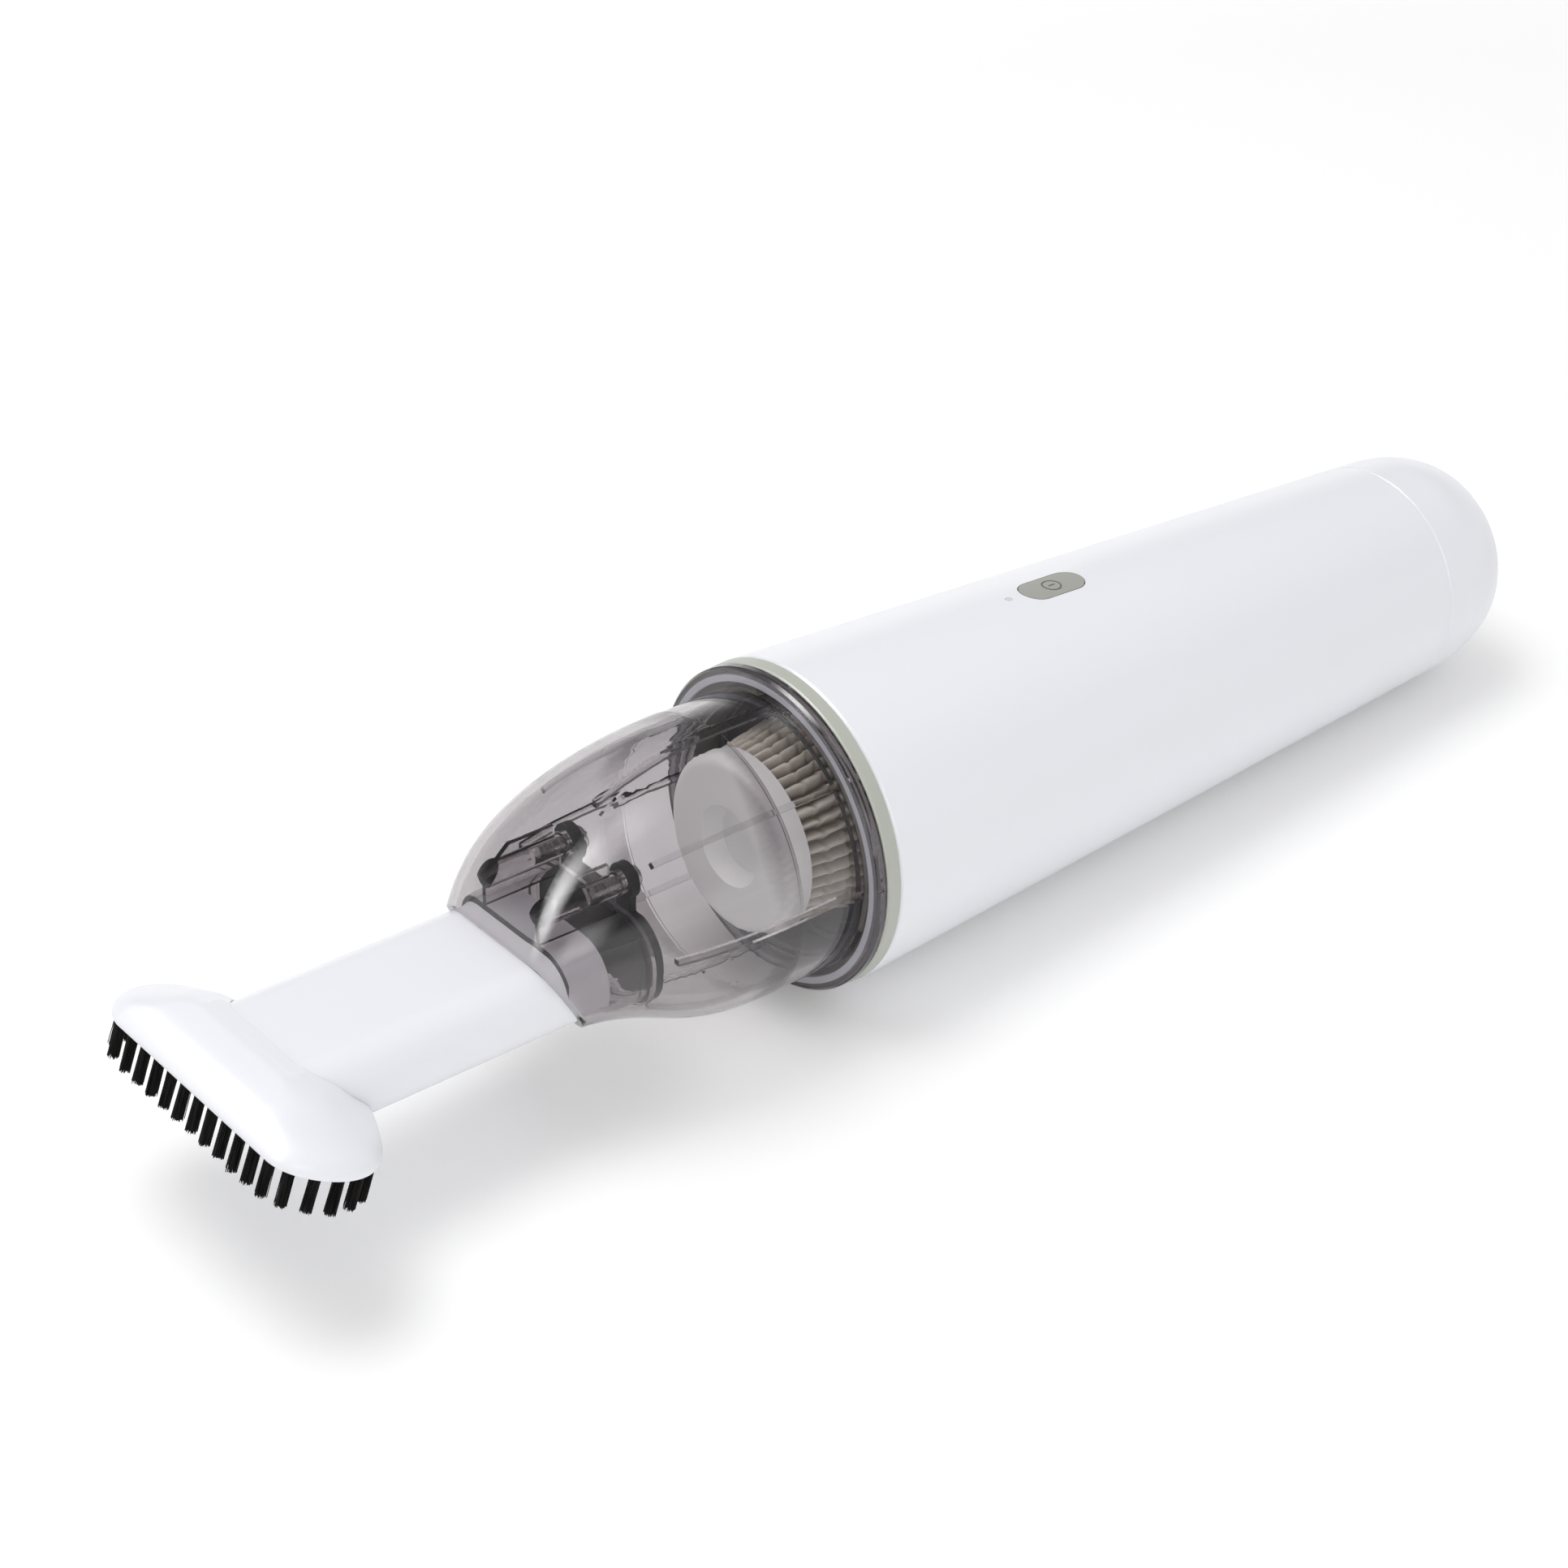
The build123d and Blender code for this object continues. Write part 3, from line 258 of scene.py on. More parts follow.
def moulded(name, first, second, roughness, grain, coat=0.0, gloss_scale=90.0):
    """Moulded plastic with slow colour drift, uneven gloss and a surface grain of some scale and depth."""
    material, tree, surface = material_start(name)
    drift = noise(tree, 14.0, 2.0)
    link(tree, colour_between(tree, drift, first, second, 0.1, 0.9), surface.inputs["Base Color"])
    gloss = spread(tree, noise(tree, gloss_scale, 2.0), *roughness, 0.1, 0.9)
    link(tree, gloss, surface.inputs["Roughness"])
    grain_scale, grain_depth = grain
    bump(tree, surface, noise(tree, grain_scale, 2.0), grain_depth)
    surface.inputs["IOR"].default_value = 1.5
    surface.inputs["Coat Weight"].default_value = coat
    surface.inputs["Coat Roughness"].default_value = 0.14
    return material


def rings(tree, stops):
    """Colour by distance from the body's axis, from pairs of a radius and a colour."""
    from_axis = length_of(tree, object_place(tree, (0.0, 1.0, 1.0)))
    ramp = tree.nodes.new("ShaderNodeValToRGB")
    low, high = stops[0][0], stops[-1][0]
    link(tree, spread(tree, from_axis, 0.0, 1.0, low, high), ramp.inputs["Fac"])
    while len(ramp.color_ramp.elements) < len(stops):
        ramp.color_ramp.elements.new(0.5)
    for element, (radius, colour) in zip(ramp.color_ramp.elements, stops):
        element.position = (radius - low) / (high - low)
        element.color = (*colour, 1.0)
    return ramp.outputs["Color"]


def smoky_clear():
    """Tinted clear plastic: the wall itself absorbs, so edges seen along the wall look darker. The flange has a
    pale, half-clear band of painted light, for the lit ring seen through it, between two dark ones. Light falls
    straight through it on what is behind it."""
    material, tree, surface = material_start("smoky clear plastic")
    surface.inputs["IOR"].default_value = 1.49
    first, last = band_reach
    inner, outer = painted_light_band
    clear, dark, lit_ring_through, rim = (1.0, 1.0, 1.0), (0.30, 0.28, 0.29), (0.60, 0.61, 0.66), (0.45, 0.43, 0.44)
    # The pale band between the inner and outer limits is painted light for the lit ring seen through the flange.
    bands = rings(tree, [
        (first, clear), (cup_radius, clear), (cup_radius + soft_edge, dark),
        (inner - soft_edge, dark), (inner + fine_edge, lit_ring_through),
        (outer - fine_edge, lit_ring_through), (outer + soft_edge, rim), (last, rim)])
    drift = colour_between(tree, noise(tree, 20.0, 2.0), (0.87, 0.855, 0.865), (0.90, 0.885, 0.893))
    link(tree, multiplied(tree, drift, bands), surface.inputs["Base Color"])
    # The painted light band is only half clear, so its pale colour shows.
    open_way, half_open = (1.0, 1.0, 1.0), (0.35, 0.35, 0.35)
    way = rings(tree, [
        (first, open_way), (inner - fine_edge, open_way), (inner + fine_edge, half_open),
        (outer - fine_edge, half_open), (outer + fine_edge, open_way), (last, open_way)])
    link(tree, way, surface.inputs["Transmission Weight"])
    link(tree, spread(tree, noise(tree, 60.0, 3.0), 0.0, 0.012), surface.inputs["Roughness"])
    bump(tree, surface, noise(tree, 45.0, 1.0), 0.008 * mm)
    through = tree.nodes.new("ShaderNodeBsdfTransparent")
    rays = tree.nodes.new("ShaderNodeLightPath")
    lighting = maths(tree, "MAXIMUM", rays.outputs["Is Shadow Ray"], rays.outputs["Is Diffuse Ray"])
    out = tree.nodes["Material Output"]
    link(tree, chosen(tree, lighting, surface.outputs["BSDF"], through.outputs["BSDF"]), out.inputs["Surface"])
    body = tree.nodes.new("ShaderNodeVolumeAbsorption")
    body.inputs["Color"].default_value = smoke_colour
    body.inputs["Density"].default_value = smoke_density
    link(tree, body.outputs["Volume"], out.inputs["Volume"])
    return material


def plated_steel():
    """Plated steel with fine turning marks."""
    material, tree, surface = material_start("plated steel")
    marks = noise(tree, 260.0, 4.0, object_place(tree, (8.0, 1.0, 1.0)))
    link(tree, colour_between(tree, marks, (0.55, 0.55, 0.54), (0.72, 0.71, 0.69)), surface.inputs["Base Color"])
    link(tree, spread(tree, marks, 0.16, 0.36), surface.inputs["Roughness"])
    surface.inputs["Metallic"].default_value = 1.0
    bump(tree, surface, marks, 0.01 * mm, 0.6)
    return material


def filter_paper():
    """Pleated paper with fibres and a little dust, and painted shade: light crests, darker and browner down the
    folds.
    """
    material, tree, surface = material_start("pleated filter paper")
    fibres = noise(tree, 900.0, 5.0, object_place(tree, (1.0, 2.6, 2.6)), 0.65)
    clouds = noise(tree, 55.0, 3.0)
    # Painted shade: the point attribute gives how far down its fold a point lies, and the ramp darkens and browns
    # the paper with it; the clouds stir it a little, as dust.
    depth = tree.nodes.new("ShaderNodeAttribute")
    depth.attribute_name = "fold"
    folds = tree.nodes.new("ShaderNodeValToRGB")
    folds.color_ramp.elements[0].position = 0.18
    folds.color_ramp.elements[0].color = (0.95, 0.93, 0.88, 1.0)
    folds.color_ramp.elements[1].position = 1.1 / 1.2
    folds.color_ramp.elements[1].color = (0.40, 0.365, 0.31, 1.0)
    middle = folds.color_ramp.elements.new(0.42)
    middle.color = (0.70, 0.655, 0.58, 1.0)
    link(tree, maths(tree, "MULTIPLY_ADD", clouds, 0.5, depth.outputs["Fac"]), folds.inputs["Fac"])
    fibre_tint = colour_between(tree, fibres, (0.86, 0.85, 0.82), (1.0, 1.0, 1.0))
    link(tree, multiplied(tree, folds.outputs["Color"], fibre_tint), surface.inputs["Base Color"])
    link(tree, spread(tree, fibres, 0.78, 0.95), surface.inputs["Roughness"])
    surface.inputs["Sheen Weight"].default_value = 0.15
    bump(tree, surface, fibres, 0.06 * mm)
    return material


def black_bristle():
    """Drawn black filament with faint brown streaks along it: painted highlights, laid at random."""
    material, tree, surface = material_start("black bristle")
    along = noise(tree, 1400.0, 3.0, object_place(tree, (0.4, 1.0, 0.15)))
    # Painted highlight: faint brown streaks along the filament, from noise.
    link(tree, colour_between(tree, along, (0.001, 0.001, 0.001), (0.009, 0.0075, 0.007)),
         surface.inputs["Base Color"])
    link(tree, spread(tree, along, 0.4, 0.6), surface.inputs["Roughness"])
    surface.inputs["Specular IOR Level"].default_value = 0.12
    bump(tree, surface, along, 0.02 * mm)
    return material


def clear_lens():
    """Small frosted clear rod."""
    material, tree, surface = material_start("clear lens")
    link(tree, colour_between(tree, noise(tree, 300.0), (0.88, 0.89, 0.93), (0.94, 0.94, 0.97)),
         surface.inputs["Base Color"])
    link(tree, spread(tree, noise(tree, 500.0), 0.1, 0.25), surface.inputs["Roughness"])
    surface.inputs["Transmission Weight"].default_value = 0.25
    surface.inputs["IOR"].default_value = 1.49
    return material


def board_green():
    """Solder mask with faint traces below it."""
    material, tree, surface = material_start("circuit board")
    traces = noise(tree, 420.0, 1.0, object_place(tree, (1.0, 3.0, 1.0)))
    link(tree, colour_between(tree, traces, (0.01, 0.10, 0.045), (0.02, 0.19, 0.09), 0.48, 0.52),
         surface.inputs["Base Color"])
    link(tree, spread(tree, traces, 0.25, 0.35), surface.inputs["Roughness"])
    bump(tree, surface, traces, 0.03 * mm)
    return material


def laminated_core():
    """Stack of thin iron sheets: fine bands along the shaft."""
    material, tree, surface = material_start("laminated core")
    sheets = tree.nodes.new("ShaderNodeTexWave")
    sheets.bands_direction = "X"
    sheets.inputs["Scale"].default_value = 320.0
    sheets.inputs["Distortion"].default_value = 0.3
    link(tree, object_place(tree), sheets.inputs["Vector"])
    link(tree, colour_between(tree, sheets.outputs["Fac"], (0.20, 0.19, 0.18), (0.45, 0.43, 0.40)),
         surface.inputs["Base Color"])
    link(tree, spread(tree, sheets.outputs["Fac"], 0.3, 0.45, 0.0, 1.0), surface.inputs["Roughness"])
    surface.inputs["Metallic"].default_value = 1.0
    bump(tree, surface, sheets.outputs["Fac"], 0.05 * mm)
    return material


# Finish of each material slot in the record
finishes = {
    "white_shell": moulded("gloss white shell", (0.846, 0.851, 0.894), (0.854, 0.859, 0.902),
                           (0.285, 0.32), (700.0, 0.004 * mm), coat=0.22, gloss_scale=40.0),
    "sage_trim": moulded("satin sage trim", (0.44, 0.455, 0.41), (0.475, 0.49, 0.44),
                         (0.36, 0.46), (1800.0, 0.015 * mm)),
    "smoky_clear": smoky_clear(),
    "black_rubber": moulded("black rubber", (0.012, 0.012, 0.013), (0.022, 0.022, 0.023),
                            (0.5, 0.66), (1500.0, 0.02 * mm)),
    "sealing_rubber": moulded("sealing rubber", (0.02, 0.02, 0.022), (0.035, 0.035, 0.037),
                              (0.42, 0.58), (1200.0, 0.02 * mm)),
    "steel": plated_steel(),
    "filter_paper": filter_paper(),
    "filter_plastic": moulded("filter plastic", (0.90, 0.90, 0.90), (0.93, 0.93, 0.93),
                              (0.34, 0.46), (1100.0, 0.02 * mm)),
    "dark_plastic": moulded("dark plastic", (0.022, 0.022, 0.025), (0.036, 0.036, 0.04),
                            (0.38, 0.52), (1300.0, 0.03 * mm)),
    "inner_plastic": moulded("inner grey plastic", (0.26, 0.27, 0.28), (0.32, 0.33, 0.34),
                             (0.42, 0.56), (1000.0, 0.03 * mm)),
    "wheel_plastic": moulded("fan wheel plastic", (0.70, 0.70, 0.69), (0.76, 0.76, 0.75),
                             (0.36, 0.5), (900.0, 0.02 * mm)),
    "lamp_white": moulded("lamp body", (0.82, 0.82, 0.78), (0.88, 0.88, 0.85),
                          (0.2, 0.3), (2000.0, 0.01 * mm)),
    "black_bristle": black_bristle(),
    "clear_lens": clear_lens(),
    "board_green": board_green(),
    "cell_wrap": moulded("battery wrap", (0.05, 0.17, 0.36), (0.07, 0.21, 0.42),
                         (0.22, 0.34), (600.0, 0.02 * mm), coat=0.2),
    "copper_core": laminated_core(),
}


def button_finish():
    return moulded("satin sage button", (0.345, 0.35, 0.315), (0.385, 0.39, 0.35),
                   (0.34, 0.44), (1800.0, 0.015 * mm))


def mark_finish():
    return moulded("button mark", (0.09, 0.09, 0.08), (0.12, 0.12, 0.105),
                   (0.4, 0.5), (1800.0, 0.01 * mm))


def dress_frame():
    """Every carried node takes the finish of its slot in the record; the button is a shade darker."""
    for part in frame["record"]["subparts"]:
        shape = nodes[part["node"]]
        shape.data.materials.clear()
        shape.data.materials.append(finishes[part["material_slot"]])
    nodes["power_button"].data.materials[0] = button_finish()


# Helpers for pieces

def linked_object(name, data):
    """New object at the origin, in the scene."""
    shape = bpy.data.objects.new(name, data)
    bpy.context.scene.collection.objects.link(shape)
    return shape


def placed(place, x_axis, y_axis, z_axis):
    """Matrix that puts an object at a place, with its axes along three directions."""
    return Matrix.Translation(place) @ Matrix((x_axis, y_axis, z_axis)).transposed().to_4x4()


def new_tree(name, inputs):
    """Geometry node tree with named number inputs, and its group input and output nodes."""
    tree = bpy.data.node_groups.new(name, "GeometryNodeTree")
    tree.interface.new_socket("Geometry", in_out="INPUT", socket_type="NodeSocketGeometry")
    for label, kind in inputs:
        tree.interface.new_socket(label, in_out="INPUT", socket_type=kind)
    tree.interface.new_socket("Geometry", in_out="OUTPUT", socket_type="NodeSocketGeometry")
    return tree, tree.nodes.new("NodeGroupInput"), tree.nodes.new("NodeGroupOutput")


def plain_result(shape, tree, values, name):
    """Runs a geometry node tree on a shape and returns its result as a plain mesh object."""
    modifier = shape.modifiers.new("build", "NODES")
    modifier.node_group = tree
    for item in tree.interface.items_tree:
        if item.in_out == "INPUT" and item.name in values:
            modifier[item.identifier] = values[item.name]
    bpy.context.view_layer.update()
    graph = bpy.context.evaluated_depsgraph_get()
    result = linked_object(name, bpy.data.meshes.new_from_object(shape.evaluated_get(graph)))
    shape.modifiers.remove(modifier)
    bpy.data.objects.remove(shape)
    return result


def give(piece, node, body, slot):
    """Ends a piece: it stands for a node, rides on a body and has the finish of a slot."""
    piece.data.materials.clear()
    piece.data.materials.append(finishes[slot])
    for polygon in piece.data.polygons:
        polygon.material_index = 0
    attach(piece, body)
    if node:
        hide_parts(node)


# Bristles

def hood_matrix():
    """From the hood's own plane (across, forwards, away from the bristles) to the frame."""
    tilt = math.radians(hood_tilt)
    away = Vector((-math.cos(tilt), 0.0, math.sin(tilt)))
    across = Vector((0.0, -1.0, 0.0))
    return placed((hood_forward_x, 0.0, -hood_drop), across, away.cross(across), away)


def arc_points(centre, start, end, steps):
    """Points on the short arc about a centre, without the last."""
    first = math.atan2(start[1] - centre[1], start[0] - centre[0])
    last = math.atan2(end[1] - centre[1], end[0] - centre[0])
    sweep = (last - first + math.pi) % (2 * math.pi) - math.pi
    radius = math.hypot(start[0] - centre[0], start[1] - centre[1])
    return [(centre[0] + radius * math.cos(first + sweep * k / steps),
             centre[1] + radius * math.sin(first + sweep * k / steps)) for k in range(steps)]


def bristle_line():
    """Middle of the bristles in the hood's plane: left end from its rear, front, right end to its rear."""
    half = hood_half_length - bristle_line_inset
    front = hood_front - bristle_line_inset
    rear = hood_front + hood_rear_extra - bristle_line_inset
    end = hood_front + hood_end_extra - bristle_line_inset
    corner = hood_corner - bristle_line_inset
    end_x = half - end
    step = math.sqrt((end - corner) ** 2 - (front - corner) ** 2)
    lean = (step / (end - corner), (front - corner) / (end - corner))
    rear_y = (end_x ** 2 - (rear - end) ** 2) / (2 * (rear - end))
    reach = math.hypot(end_x, rear_y)
    rear_radius = rear_y + rear
    front_point = (end_x + step, front)
    end_point = (end_x + end * lean[0], end * lean[1])
    rear_point = (rear_radius * end_x / reach, rear_y - rear_radius * rear_y / reach)
    right = arc_points((end_x + step, front - corner), front_point, end_point, 8)
    right += arc_points((end_x, 0.0), end_point, (half, 0.0), 8)
    right += arc_points((end_x, 0.0), (half, 0.0), rear_point, 12) + [rear_point]
    left = [(-x, y) for x, y in reversed(right)]
    return left + right


def between(points, first, last):
    """The stretch of a line between two lengths along it."""
    kept = []
    walked = 0.0
    for p, q in zip(points, points[1:]):
        length = math.dist(p, q)
        for wanted in (first, last):
            if walked <= wanted < walked + length:
                share = (wanted - walked) / length
                kept.append((p[0] + (q[0] - p[0]) * share, p[1] + (q[1] - p[1]) * share))
        walked += length
        if first < walked < last:
            kept.append(q)
    return kept


def tuft_tree():
    """Round tufts of tapering filaments along a curve: a disc of roots at each place, each root moved, leant
    and shortened a little."""
    tree, start, end = new_tree("bristle tufts", [
        ("Tufts", "NodeSocketInt"), ("Tuft width", "NodeSocketFloat"), ("Bristle length", "NodeSocketFloat"),
        ("Bristle radius", "NodeSocketFloat"), ("Seed", "NodeSocketInt")])
    make = tree.nodes.new
    given = start.outputs

    def random_vector(low, high):
        node = make("FunctionNodeRandomValue")
        node.data_type = "FLOAT_VECTOR"
        node.inputs["Min"].default_value = low
        node.inputs["Max"].default_value = high
        link(tree, given["Seed"], node.inputs["Seed"])
        return node.outputs["Value"]

    path = make("GeometryNodeCurveToPoints")
    path.mode = "COUNT"
    link(tree, given["Geometry"], path.inputs["Curve"])
    link(tree, given["Tufts"], path.inputs["Count"])

    grid = make("GeometryNodeMeshGrid")
    grid.inputs["Vertices X"].default_value = roots_across_tuft
    grid.inputs["Vertices Y"].default_value = roots_across_tuft
    link(tree, given["Tuft width"], grid.inputs["Size X"])
    link(tree, given["Tuft width"], grid.inputs["Size Y"])
    place = make("GeometryNodeInputPosition")
    outside = make("FunctionNodeCompare")
    outside.data_type = "FLOAT"
    outside.operation = "GREATER_THAN"
    link(tree, length_of(tree, place.outputs["Position"]), outside.inputs["A"])
    link(tree, maths(tree, "MULTIPLY", given["Tuft width"], tuft_round_share), outside.inputs["B"])
    disc = make("GeometryNodeDeleteGeometry")
    link(tree, grid.outputs["Mesh"], disc.inputs["Geometry"])
    link(tree, outside.outputs["Result"], disc.inputs["Selection"])
    roots = make("GeometryNodeInstanceOnPoints")
    link(tree, path.outputs["Points"], roots.inputs["Points"])
    link(tree, disc.outputs["Geometry"], roots.inputs["Instance"])
    loose = make("GeometryNodeRealizeInstances")
    link(tree, roots.outputs["Instances"], loose.inputs["Geometry"])
    points = make("GeometryNodeMeshToPoints")
    link(tree, loose.outputs["Geometry"], points.inputs["Mesh"])
    moved = make("GeometryNodeSetPosition")
    link(tree, points.outputs["Points"], moved.inputs["Geometry"])
    aside = random_vector((-bristle_shift, -bristle_shift, 0.0), (bristle_shift, bristle_shift, 0.0))
    link(tree, aside, moved.inputs["Offset"])

    filament = make("GeometryNodeMeshCone")
    filament.inputs["Vertices"].default_value = bristle_sides
    filament.inputs["Side Segments"].default_value = bristle_segments
    filament.fill_type = "NGON"
    link(tree, given["Bristle radius"], filament.inputs["Radius Bottom"])
    link(tree, maths(tree, "MULTIPLY", given["Bristle radius"], bristle_tip_share), filament.inputs["Radius Top"])
    link(tree, given["Bristle length"], filament.inputs["Depth"])

    tip = math.radians(bristle_lean)
    lean = random_vector((math.pi - tip, -tip, 0.0), (math.pi + tip, tip, 2 * math.pi))
    size = make("FunctionNodeRandomValue")
    size.data_type = "FLOAT"
    size.inputs[2].default_value, size.inputs[3].default_value = bristle_length_share
    link(tree, given["Seed"], size.inputs["Seed"])
    patch = make("ShaderNodeTexNoise")
    patch.inputs["Scale"].default_value = bristle_trim_scale
    patch.inputs["Detail"].default_value = 1.0
    trim = spread(tree, patch.outputs["Fac"], *bristle_trim_share)
    stretch = make("ShaderNodeCombineXYZ")
    stretch.inputs["X"].default_value = 1.0
    stretch.inputs["Y"].default_value = 1.0
    link(tree, maths(tree, "ADD", size.outputs[1], trim), stretch.inputs["Z"])

    tufts = make("GeometryNodeInstanceOnPoints")
    link(tree, moved.outputs["Geometry"], tufts.inputs["Points"])
    link(tree, filament.outputs["Mesh"], tufts.inputs["Instance"])
    link(tree, lean, tufts.inputs["Rotation"])
    link(tree, stretch.outputs["Vector"], tufts.inputs["Scale"])
    whole = make("GeometryNodeRealizeInstances")
    link(tree, tufts.outputs["Instances"], whole.inputs["Geometry"])
    finish = make("GeometryNodeSetMaterial")
    finish.inputs["Material"].default_value = finishes["black_bristle"]
    link(tree, whole.outputs["Geometry"], finish.inputs["Geometry"])
    link(tree, finish.outputs["Geometry"], end.inputs["Geometry"])
    return tree


def path_curve(points, name):
    """Open straight-edged curve through points in the hood's plane."""
    data = bpy.data.curves.new(name, "CURVE")
    data.dimensions = "3D"
    spline = data.splines.new("POLY")
    spline.points.add(len(points) - 1)
    for point, (x, y) in zip(spline.points, points):
        point.co = (x, y, bristle_root, 1.0)
    return linked_object(name, data)


def make_bristles():
    """Strips of round tufts in place of the plain ones; the hood's rear edge has none."""
    tree = tuft_tree()
    place = hood_matrix()
    line = bristle_line()
    strips = {
        "left": (-tufts_at_an_end, tufts_at_an_end, end_bristle_length),
        "front": (0, tufts_in_front, front_bristle_length),
        "right": (tufts_in_front, tufts_at_an_end, end_bristle_length),
    }
    for seed, (side, (first, count, length)) in enumerate(strips.items()):
        begin = first_front_tuft + first * tuft_pitch
        stretch = between(line, begin, begin + (count - 1) * tuft_pitch)
        strip = plain_result(path_curve(stretch, f"line_{side}"), tree, {
            "Tufts": count, "Tuft width": tuft_width, "Bristle length": length + bristle_root,
            "Bristle radius": bristle_radius, "Seed": seed}, f"tufts_{side}")
        strip.data.transform(place)
        give(strip, f"bristles_{side}", "brush", "black_bristle")


# Filter paper

def fold_depth(t):
    """Share of a fold's depth at a place across it: 0 on the crest, 1 in the valley."""
    flank = 1 - abs(2 * (t % 1.0) - 1)
    return flank ** pleat_flank_power


def fold_sway(which, v):
    """How far a fold leans aside at a place along it, as a share of its width."""
    return (sway_of_a_fold * math.sin(3.7 * which + 2.3 * v)
            + sway_along_a_fold * math.sin(11.0 * v + 1.9 * which))


def make_pleats():
    """Folded paper sheet with uneven folds and two embossed rows, in place of the plain star."""
    low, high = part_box("filter_pleats")
    rear_radius = (high.y - low.y) / 2
    around = pleat_count * pleat_steps
    mesh = bmesh.new()
    rings_of_points = []
    folds = []
    for j in range(paper_rows + 1):
        v = j / paper_rows
        x = low.x + (high.x - low.x) * v
        outer = rear_radius - paper_taper * v
        rows = [math.exp(-((v - middle) / emboss_width) ** 2) for middle in emboss_rows]
        kink = emboss_kink * (rows[0] - rows[1])
        ring = []
        for i in range(around):
            u = i / around * pleat_count
            which = math.floor(u)
            depth = pleat_depth * (1.0 - pleat_shallow_share * (0.5 + 0.5 * math.sin(2.1 * which)))
            fold = fold_depth(u)
            radius = outer - paper_thickness / 2 - depth * fold - emboss_depth * sum(rows) * (1 - fold)
            angle = 2 * math.pi * (u + kink + fold_sway(which, v) * fold * (1 - fold) * 2) / pleat_count
            ring.append(mesh.verts.new((x, radius * math.cos(angle), radius * math.sin(angle))))
            # Painted shade for the paper's colour: depth down the fold, with the embossed rows shaded darker
            # towards the crests.
            folds.append(fold + emboss_shade * sum(rows) * (1 - fold) * (0.5 - fold))
        rings_of_points.append(ring)
    for lower, upper in zip(rings_of_points, rings_of_points[1:]):
        for i in range(around):
            k = (i + 1) % around
            mesh.faces.new((lower[i], lower[k], upper[k], upper[i]))
    bmesh.ops.recalc_face_normals(mesh, faces=mesh.faces)
    data = bpy.data.meshes.new("pleated_paper")
    mesh.to_mesh(data)
    mesh.free()
    data.attributes.new("fold", "FLOAT", "POINT").data.foreach_set("value", folds)
    for polygon in data.polygons:
        polygon.use_smooth = True
    piece = linked_object("pleated_paper", data)
    wall = piece.modifiers.new("paper", "SOLIDIFY")
    wall.thickness = paper_thickness
    wall.offset = 0.0
    give(piece, "filter_pleats", "filter", "filter_paper")


# Power button mark

def make_button_mark():
    """Shallow ring and bar moulded on the button."""
    low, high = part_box("power_button")
    middle_x = (low.x + high.x) / 2
    slope = math.tan(math.radians(body_taper))
    mesh = bmesh.new()

    def skin(x, y):
        radius = front_radius - (body_front_x - x) * slope
        return math.sqrt(radius ** 2 - y ** 2)

    def raised_band(outer_line, inner_line, closed):
        rows = []
        for (xo, yo), (xi, yi) in zip(outer_line, inner_line):
            rows.append([mesh.verts.new((xo, yo, skin(xo, yo) - mark_height)),
                         mesh.verts.new((xo, yo, skin(xo, yo) + mark_height)),
                         mesh.verts.new((xi, yi, skin(xi, yi) + mark_height)),
                         mesh.verts.new((xi, yi, skin(xi, yi) - mark_height))])
        pairs = list(zip(rows, rows[1:]))
        if closed:
            pairs.append((rows[-1], rows[0]))
        else:
            mesh.faces.new(rows[0])
            mesh.faces.new(list(reversed(rows[-1])))
        for a, b in pairs:
            for m in range(4):
                n = (m + 1) % 4
                mesh.faces.new((a[m], a[n], b[n], b[m]))

    def circle(radius):
        turns = [2 * math.pi * k / mark_steps for k in range(mark_steps)]
        return [(middle_x + radius * math.cos(turn), radius * math.sin(turn)) for turn in turns]

    raised_band(circle(mark_radius), circle(mark_radius - mark_line), True)
    bar = [middle_x + mark_bar * (k / mark_bar_steps - 0.5) for k in range(mark_bar_steps + 1)]
    raised_band([(x, mark_line / 2) for x in bar], [(x, -mark_line / 2) for x in bar], False)
    bmesh.ops.recalc_face_normals(mesh, faces=mesh.faces)
    data = bpy.data.meshes.new("button_mark")
    mesh.to_mesh(data)
    mesh.free()
    piece = linked_object("button_mark", data)
    give(piece, None, "button", "sage_trim")
    piece.data.materials[0] = mark_finish()


# Studio: floor, world, lamps and camera

def seen_directly(tree):
    """1 for camera, glossy and transmitted rays, 0 for the rest."""
    rays = tree.nodes.new("ShaderNodeLightPath").outputs
    bright = maths(tree, "MAXIMUM", rays["Is Camera Ray"], rays["Is Glossy Ray"])
    return maths(tree, "MAXIMUM", bright, rays["Is Transmission Ray"])


def floor_finish():
    """White floor that keeps the shadow and shows as white beyond it; it is not drawn from below."""
    material = bpy.data.materials.new("studio floor")
    material.use_nodes = True
    tree = material.node_tree
    tree.nodes.clear()
    make = tree.nodes.new
    paper = make("ShaderNodeBsdfDiffuse")
    paper.inputs["Color"].default_value = (floor_white, floor_white, floor_white, 1.0)
    distance = length_of(tree, object_place(tree))
    lift = spread(tree, distance, floor_lift, far_floor_lift, *floor_lift_grows)
    glow = make("ShaderNodeEmission")
    link(tree, maths(tree, "MULTIPLY", seen_directly(tree), lift), glow.inputs["Strength"])
    together = make("ShaderNodeAddShader")
    link(tree, paper.outputs["BSDF"], together.inputs[0])
    link(tree, glow.outputs["Emission"], together.inputs[1])
    side = make("ShaderNodeNewGeometry")
    none = make("ShaderNodeBsdfTransparent")
    out = make("ShaderNodeOutputMaterial")
    link(tree, chosen(tree, side.outputs["Backfacing"], together.outputs["Shader"], none.outputs["BSDF"]),
         out.inputs["Surface"])
    return material


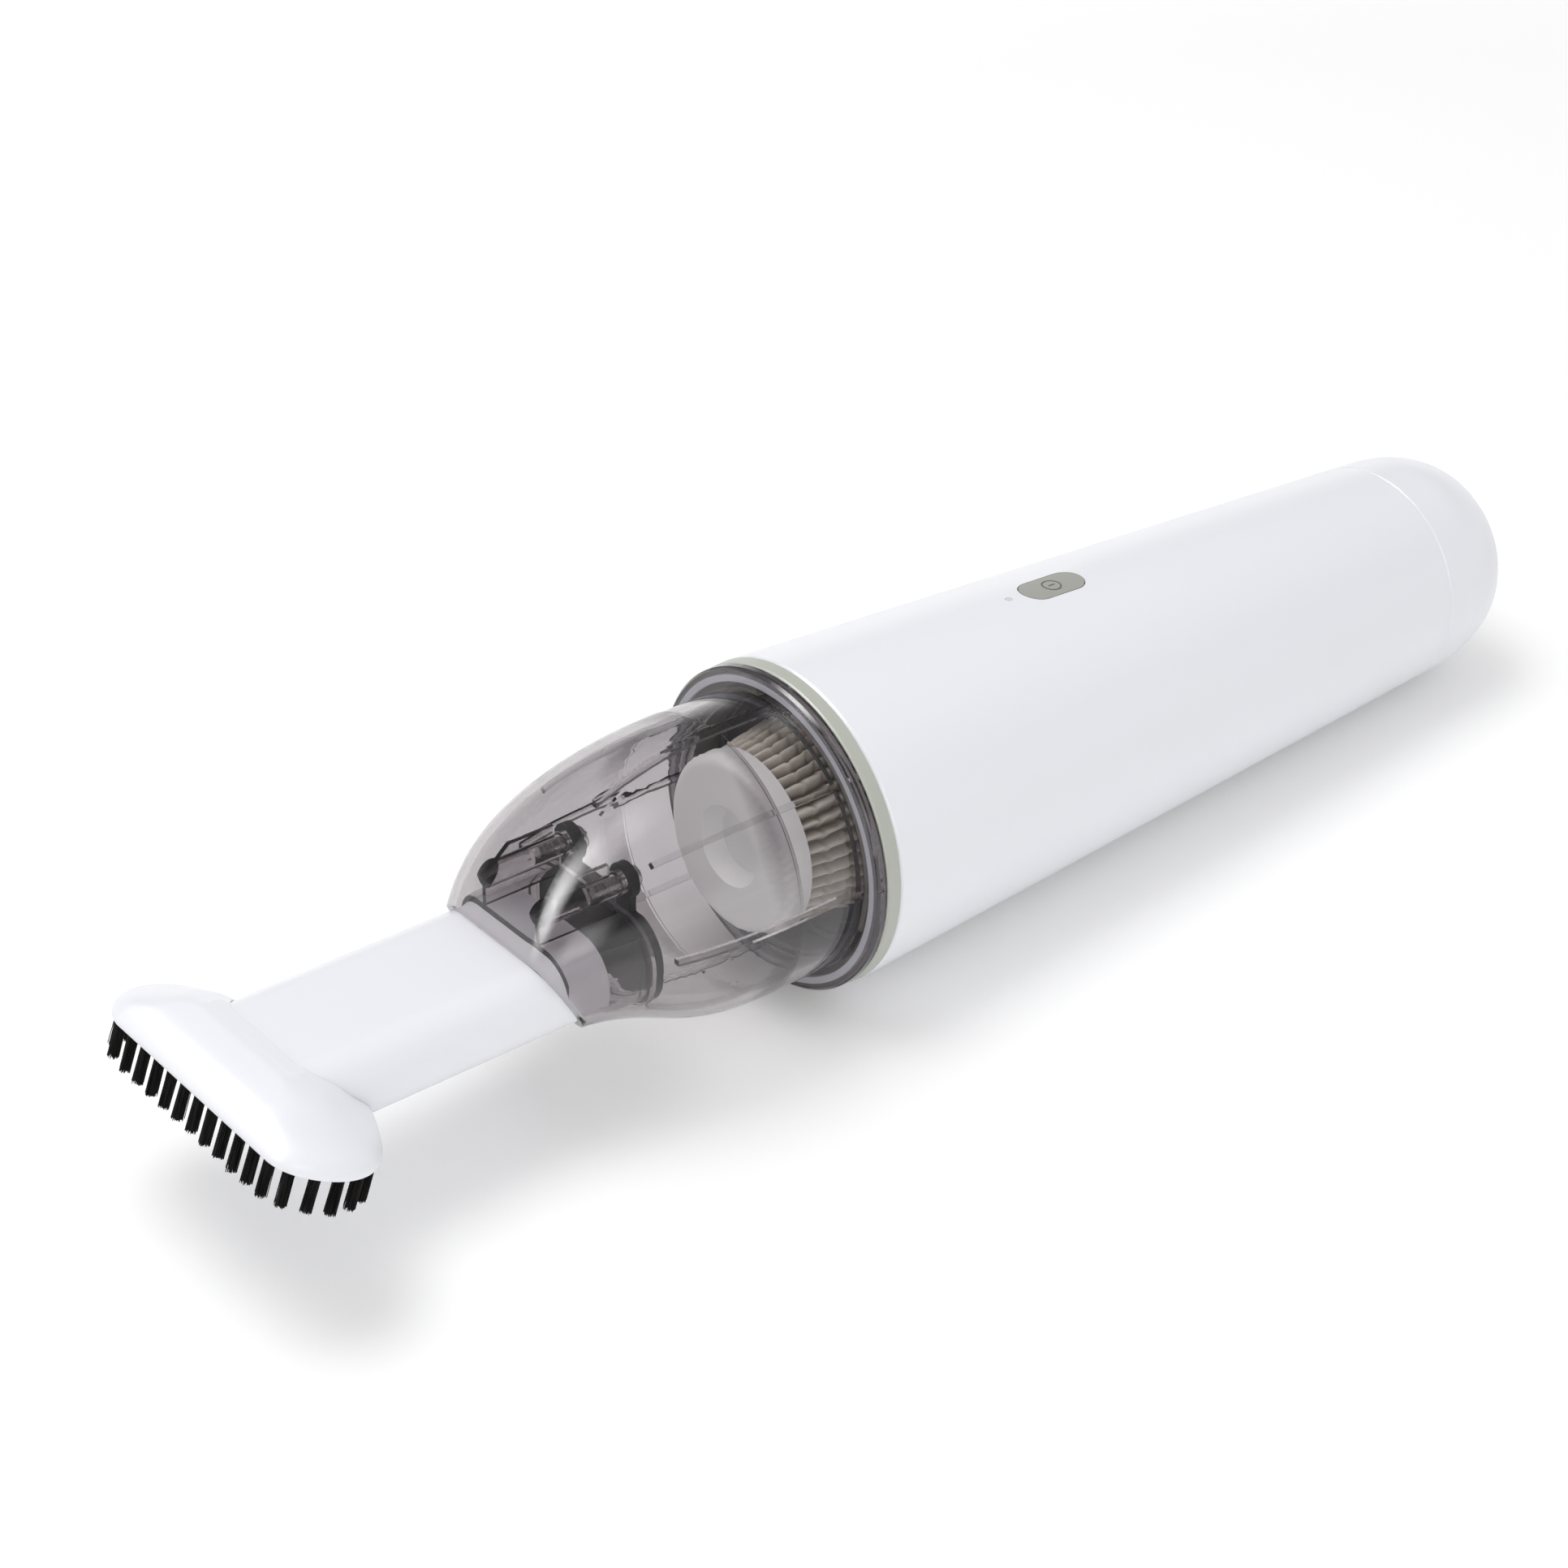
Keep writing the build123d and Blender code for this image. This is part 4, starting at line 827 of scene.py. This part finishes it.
def floor_height(x):
    """Height of the surface that the tapered body lies on."""
    return -front_radius + (body_front_x - x) * math.tan(math.radians(body_taper))


def make_floor():
    mesh = bpy.data.meshes.new("studio_floor")
    size = floor_half_size
    corners = [(-size, -size), (size, -size), (size, size), (-size, size)]
    mesh.from_pydata([(x, y, floor_height(x)) for x, y in corners], [], [(0, 1, 2, 3)])
    mesh.materials.append(floor_finish())
    linked_object("studio_floor", mesh)


def make_world():
    """Even light, a white background, and a dimmer ceiling in what glossy surfaces show."""
    world = bpy.data.worlds.new("studio")
    bpy.context.scene.world = world
    world.use_nodes = True
    tree = world.node_tree
    background = tree.nodes["Background"]
    background.inputs["Color"].default_value = (1.0, 1.0, 1.0, 1.0)
    direction = tree.nodes.new("ShaderNodeTexCoord")
    height = axes_of(tree, direction.outputs["Generated"])["Z"]
    dimmed = spread(tree, height, 0.0, 1.0 - ceiling_light, *ceiling_heights, "SMOOTHSTEP")
    rays = tree.nodes.new("ShaderNodeLightPath")
    dimming = maths(tree, "MULTIPLY", dimmed, rays.outputs["Is Glossy Ray"])
    amount = spread(tree, seen_directly(tree), world_light, 1.0, 0.0, 1.0)
    link(tree, maths(tree, "SUBTRACT", amount, dimming), background.inputs["Strength"])


def soften_edges(data, core):
    """Lamp that is full in its core and fades out to its edges."""
    data.use_nodes = True
    tree = data.node_tree
    where = tree.nodes.new("ShaderNodeNewGeometry")
    across = axes_of(tree, where.outputs["Parametric"])
    shares = []
    for axis in "XY":
        from_middle = maths(tree, "ABSOLUTE", maths(tree, "SUBTRACT", across[axis], 0.5))
        shares.append(spread(tree, from_middle, 0.0, 1.0, 0.5, 0.5 * core, "SMOOTHSTEP"))
    link(tree, maths(tree, "MULTIPLY", *shares), tree.nodes["Emission"].inputs["Strength"])


def make_lamp(name, place, target, along, size, power, core=0.2):
    """Soft-edged lamp that points at a target, its longer side along a direction."""
    data = bpy.data.lights.new(name, "AREA")
    data.shape = "RECTANGLE"
    data.size, data.size_y = size
    data.energy = power
    soften_edges(data, core)
    back = (Vector(place) - Vector(target)).normalized()
    upright = Vector(along)
    upright = (upright - upright.dot(back) * back).normalized()
    sideways = upright.cross(back)
    lamp = linked_object(name, data)
    lamp.matrix_world = placed(place, sideways, upright, back)
    return lamp


def make_lamps():
    """A soft key from above, a fill from the nozzle's side, and a strip that shows as a streak on glossy
    fronts in place of the key."""
    key = make_lamp("key", place=(0.45, -0.28, 1.28), target=body_middle, along=(1.0, 0.0, 0.0),
                    size=(1.1, 1.1), power=19.4)
    key.visible_glossy = False
    make_lamp("fill", place=(1.05, 0.85, 0.40), target=body_middle, along=(0.0, 0.0, 1.0),
              size=(1.1, 0.9), power=7.1)
    strip = make_lamp("strip", place=(0.87, -0.32, 0.57), target=(0.28, 0.0, 0.0), along=(0.73, 0.18, -0.67),
                      size=(0.66, 1.35), power=44.0, core=0.05)
    strip.visible_diffuse = False
    strip.visible_transmission = False


def make_camera():
    data = bpy.data.cameras.new("camera")
    data.sensor_width = 36.0
    data.lens = focal_pixels / frame_pixels * data.sensor_width
    data.clip_start = 0.01
    camera = linked_object("camera", data)
    camera.matrix_world = placed(camera_place, camera_right, camera_up, camera_right.cross(camera_up))
    bpy.context.scene.camera = camera


dress_frame()
make_bristles()
make_pleats()
make_button_mark()
make_floor()
make_world()
make_lamps()
make_camera()
bpy.context.scene.view_settings.view_transform = "Standard"
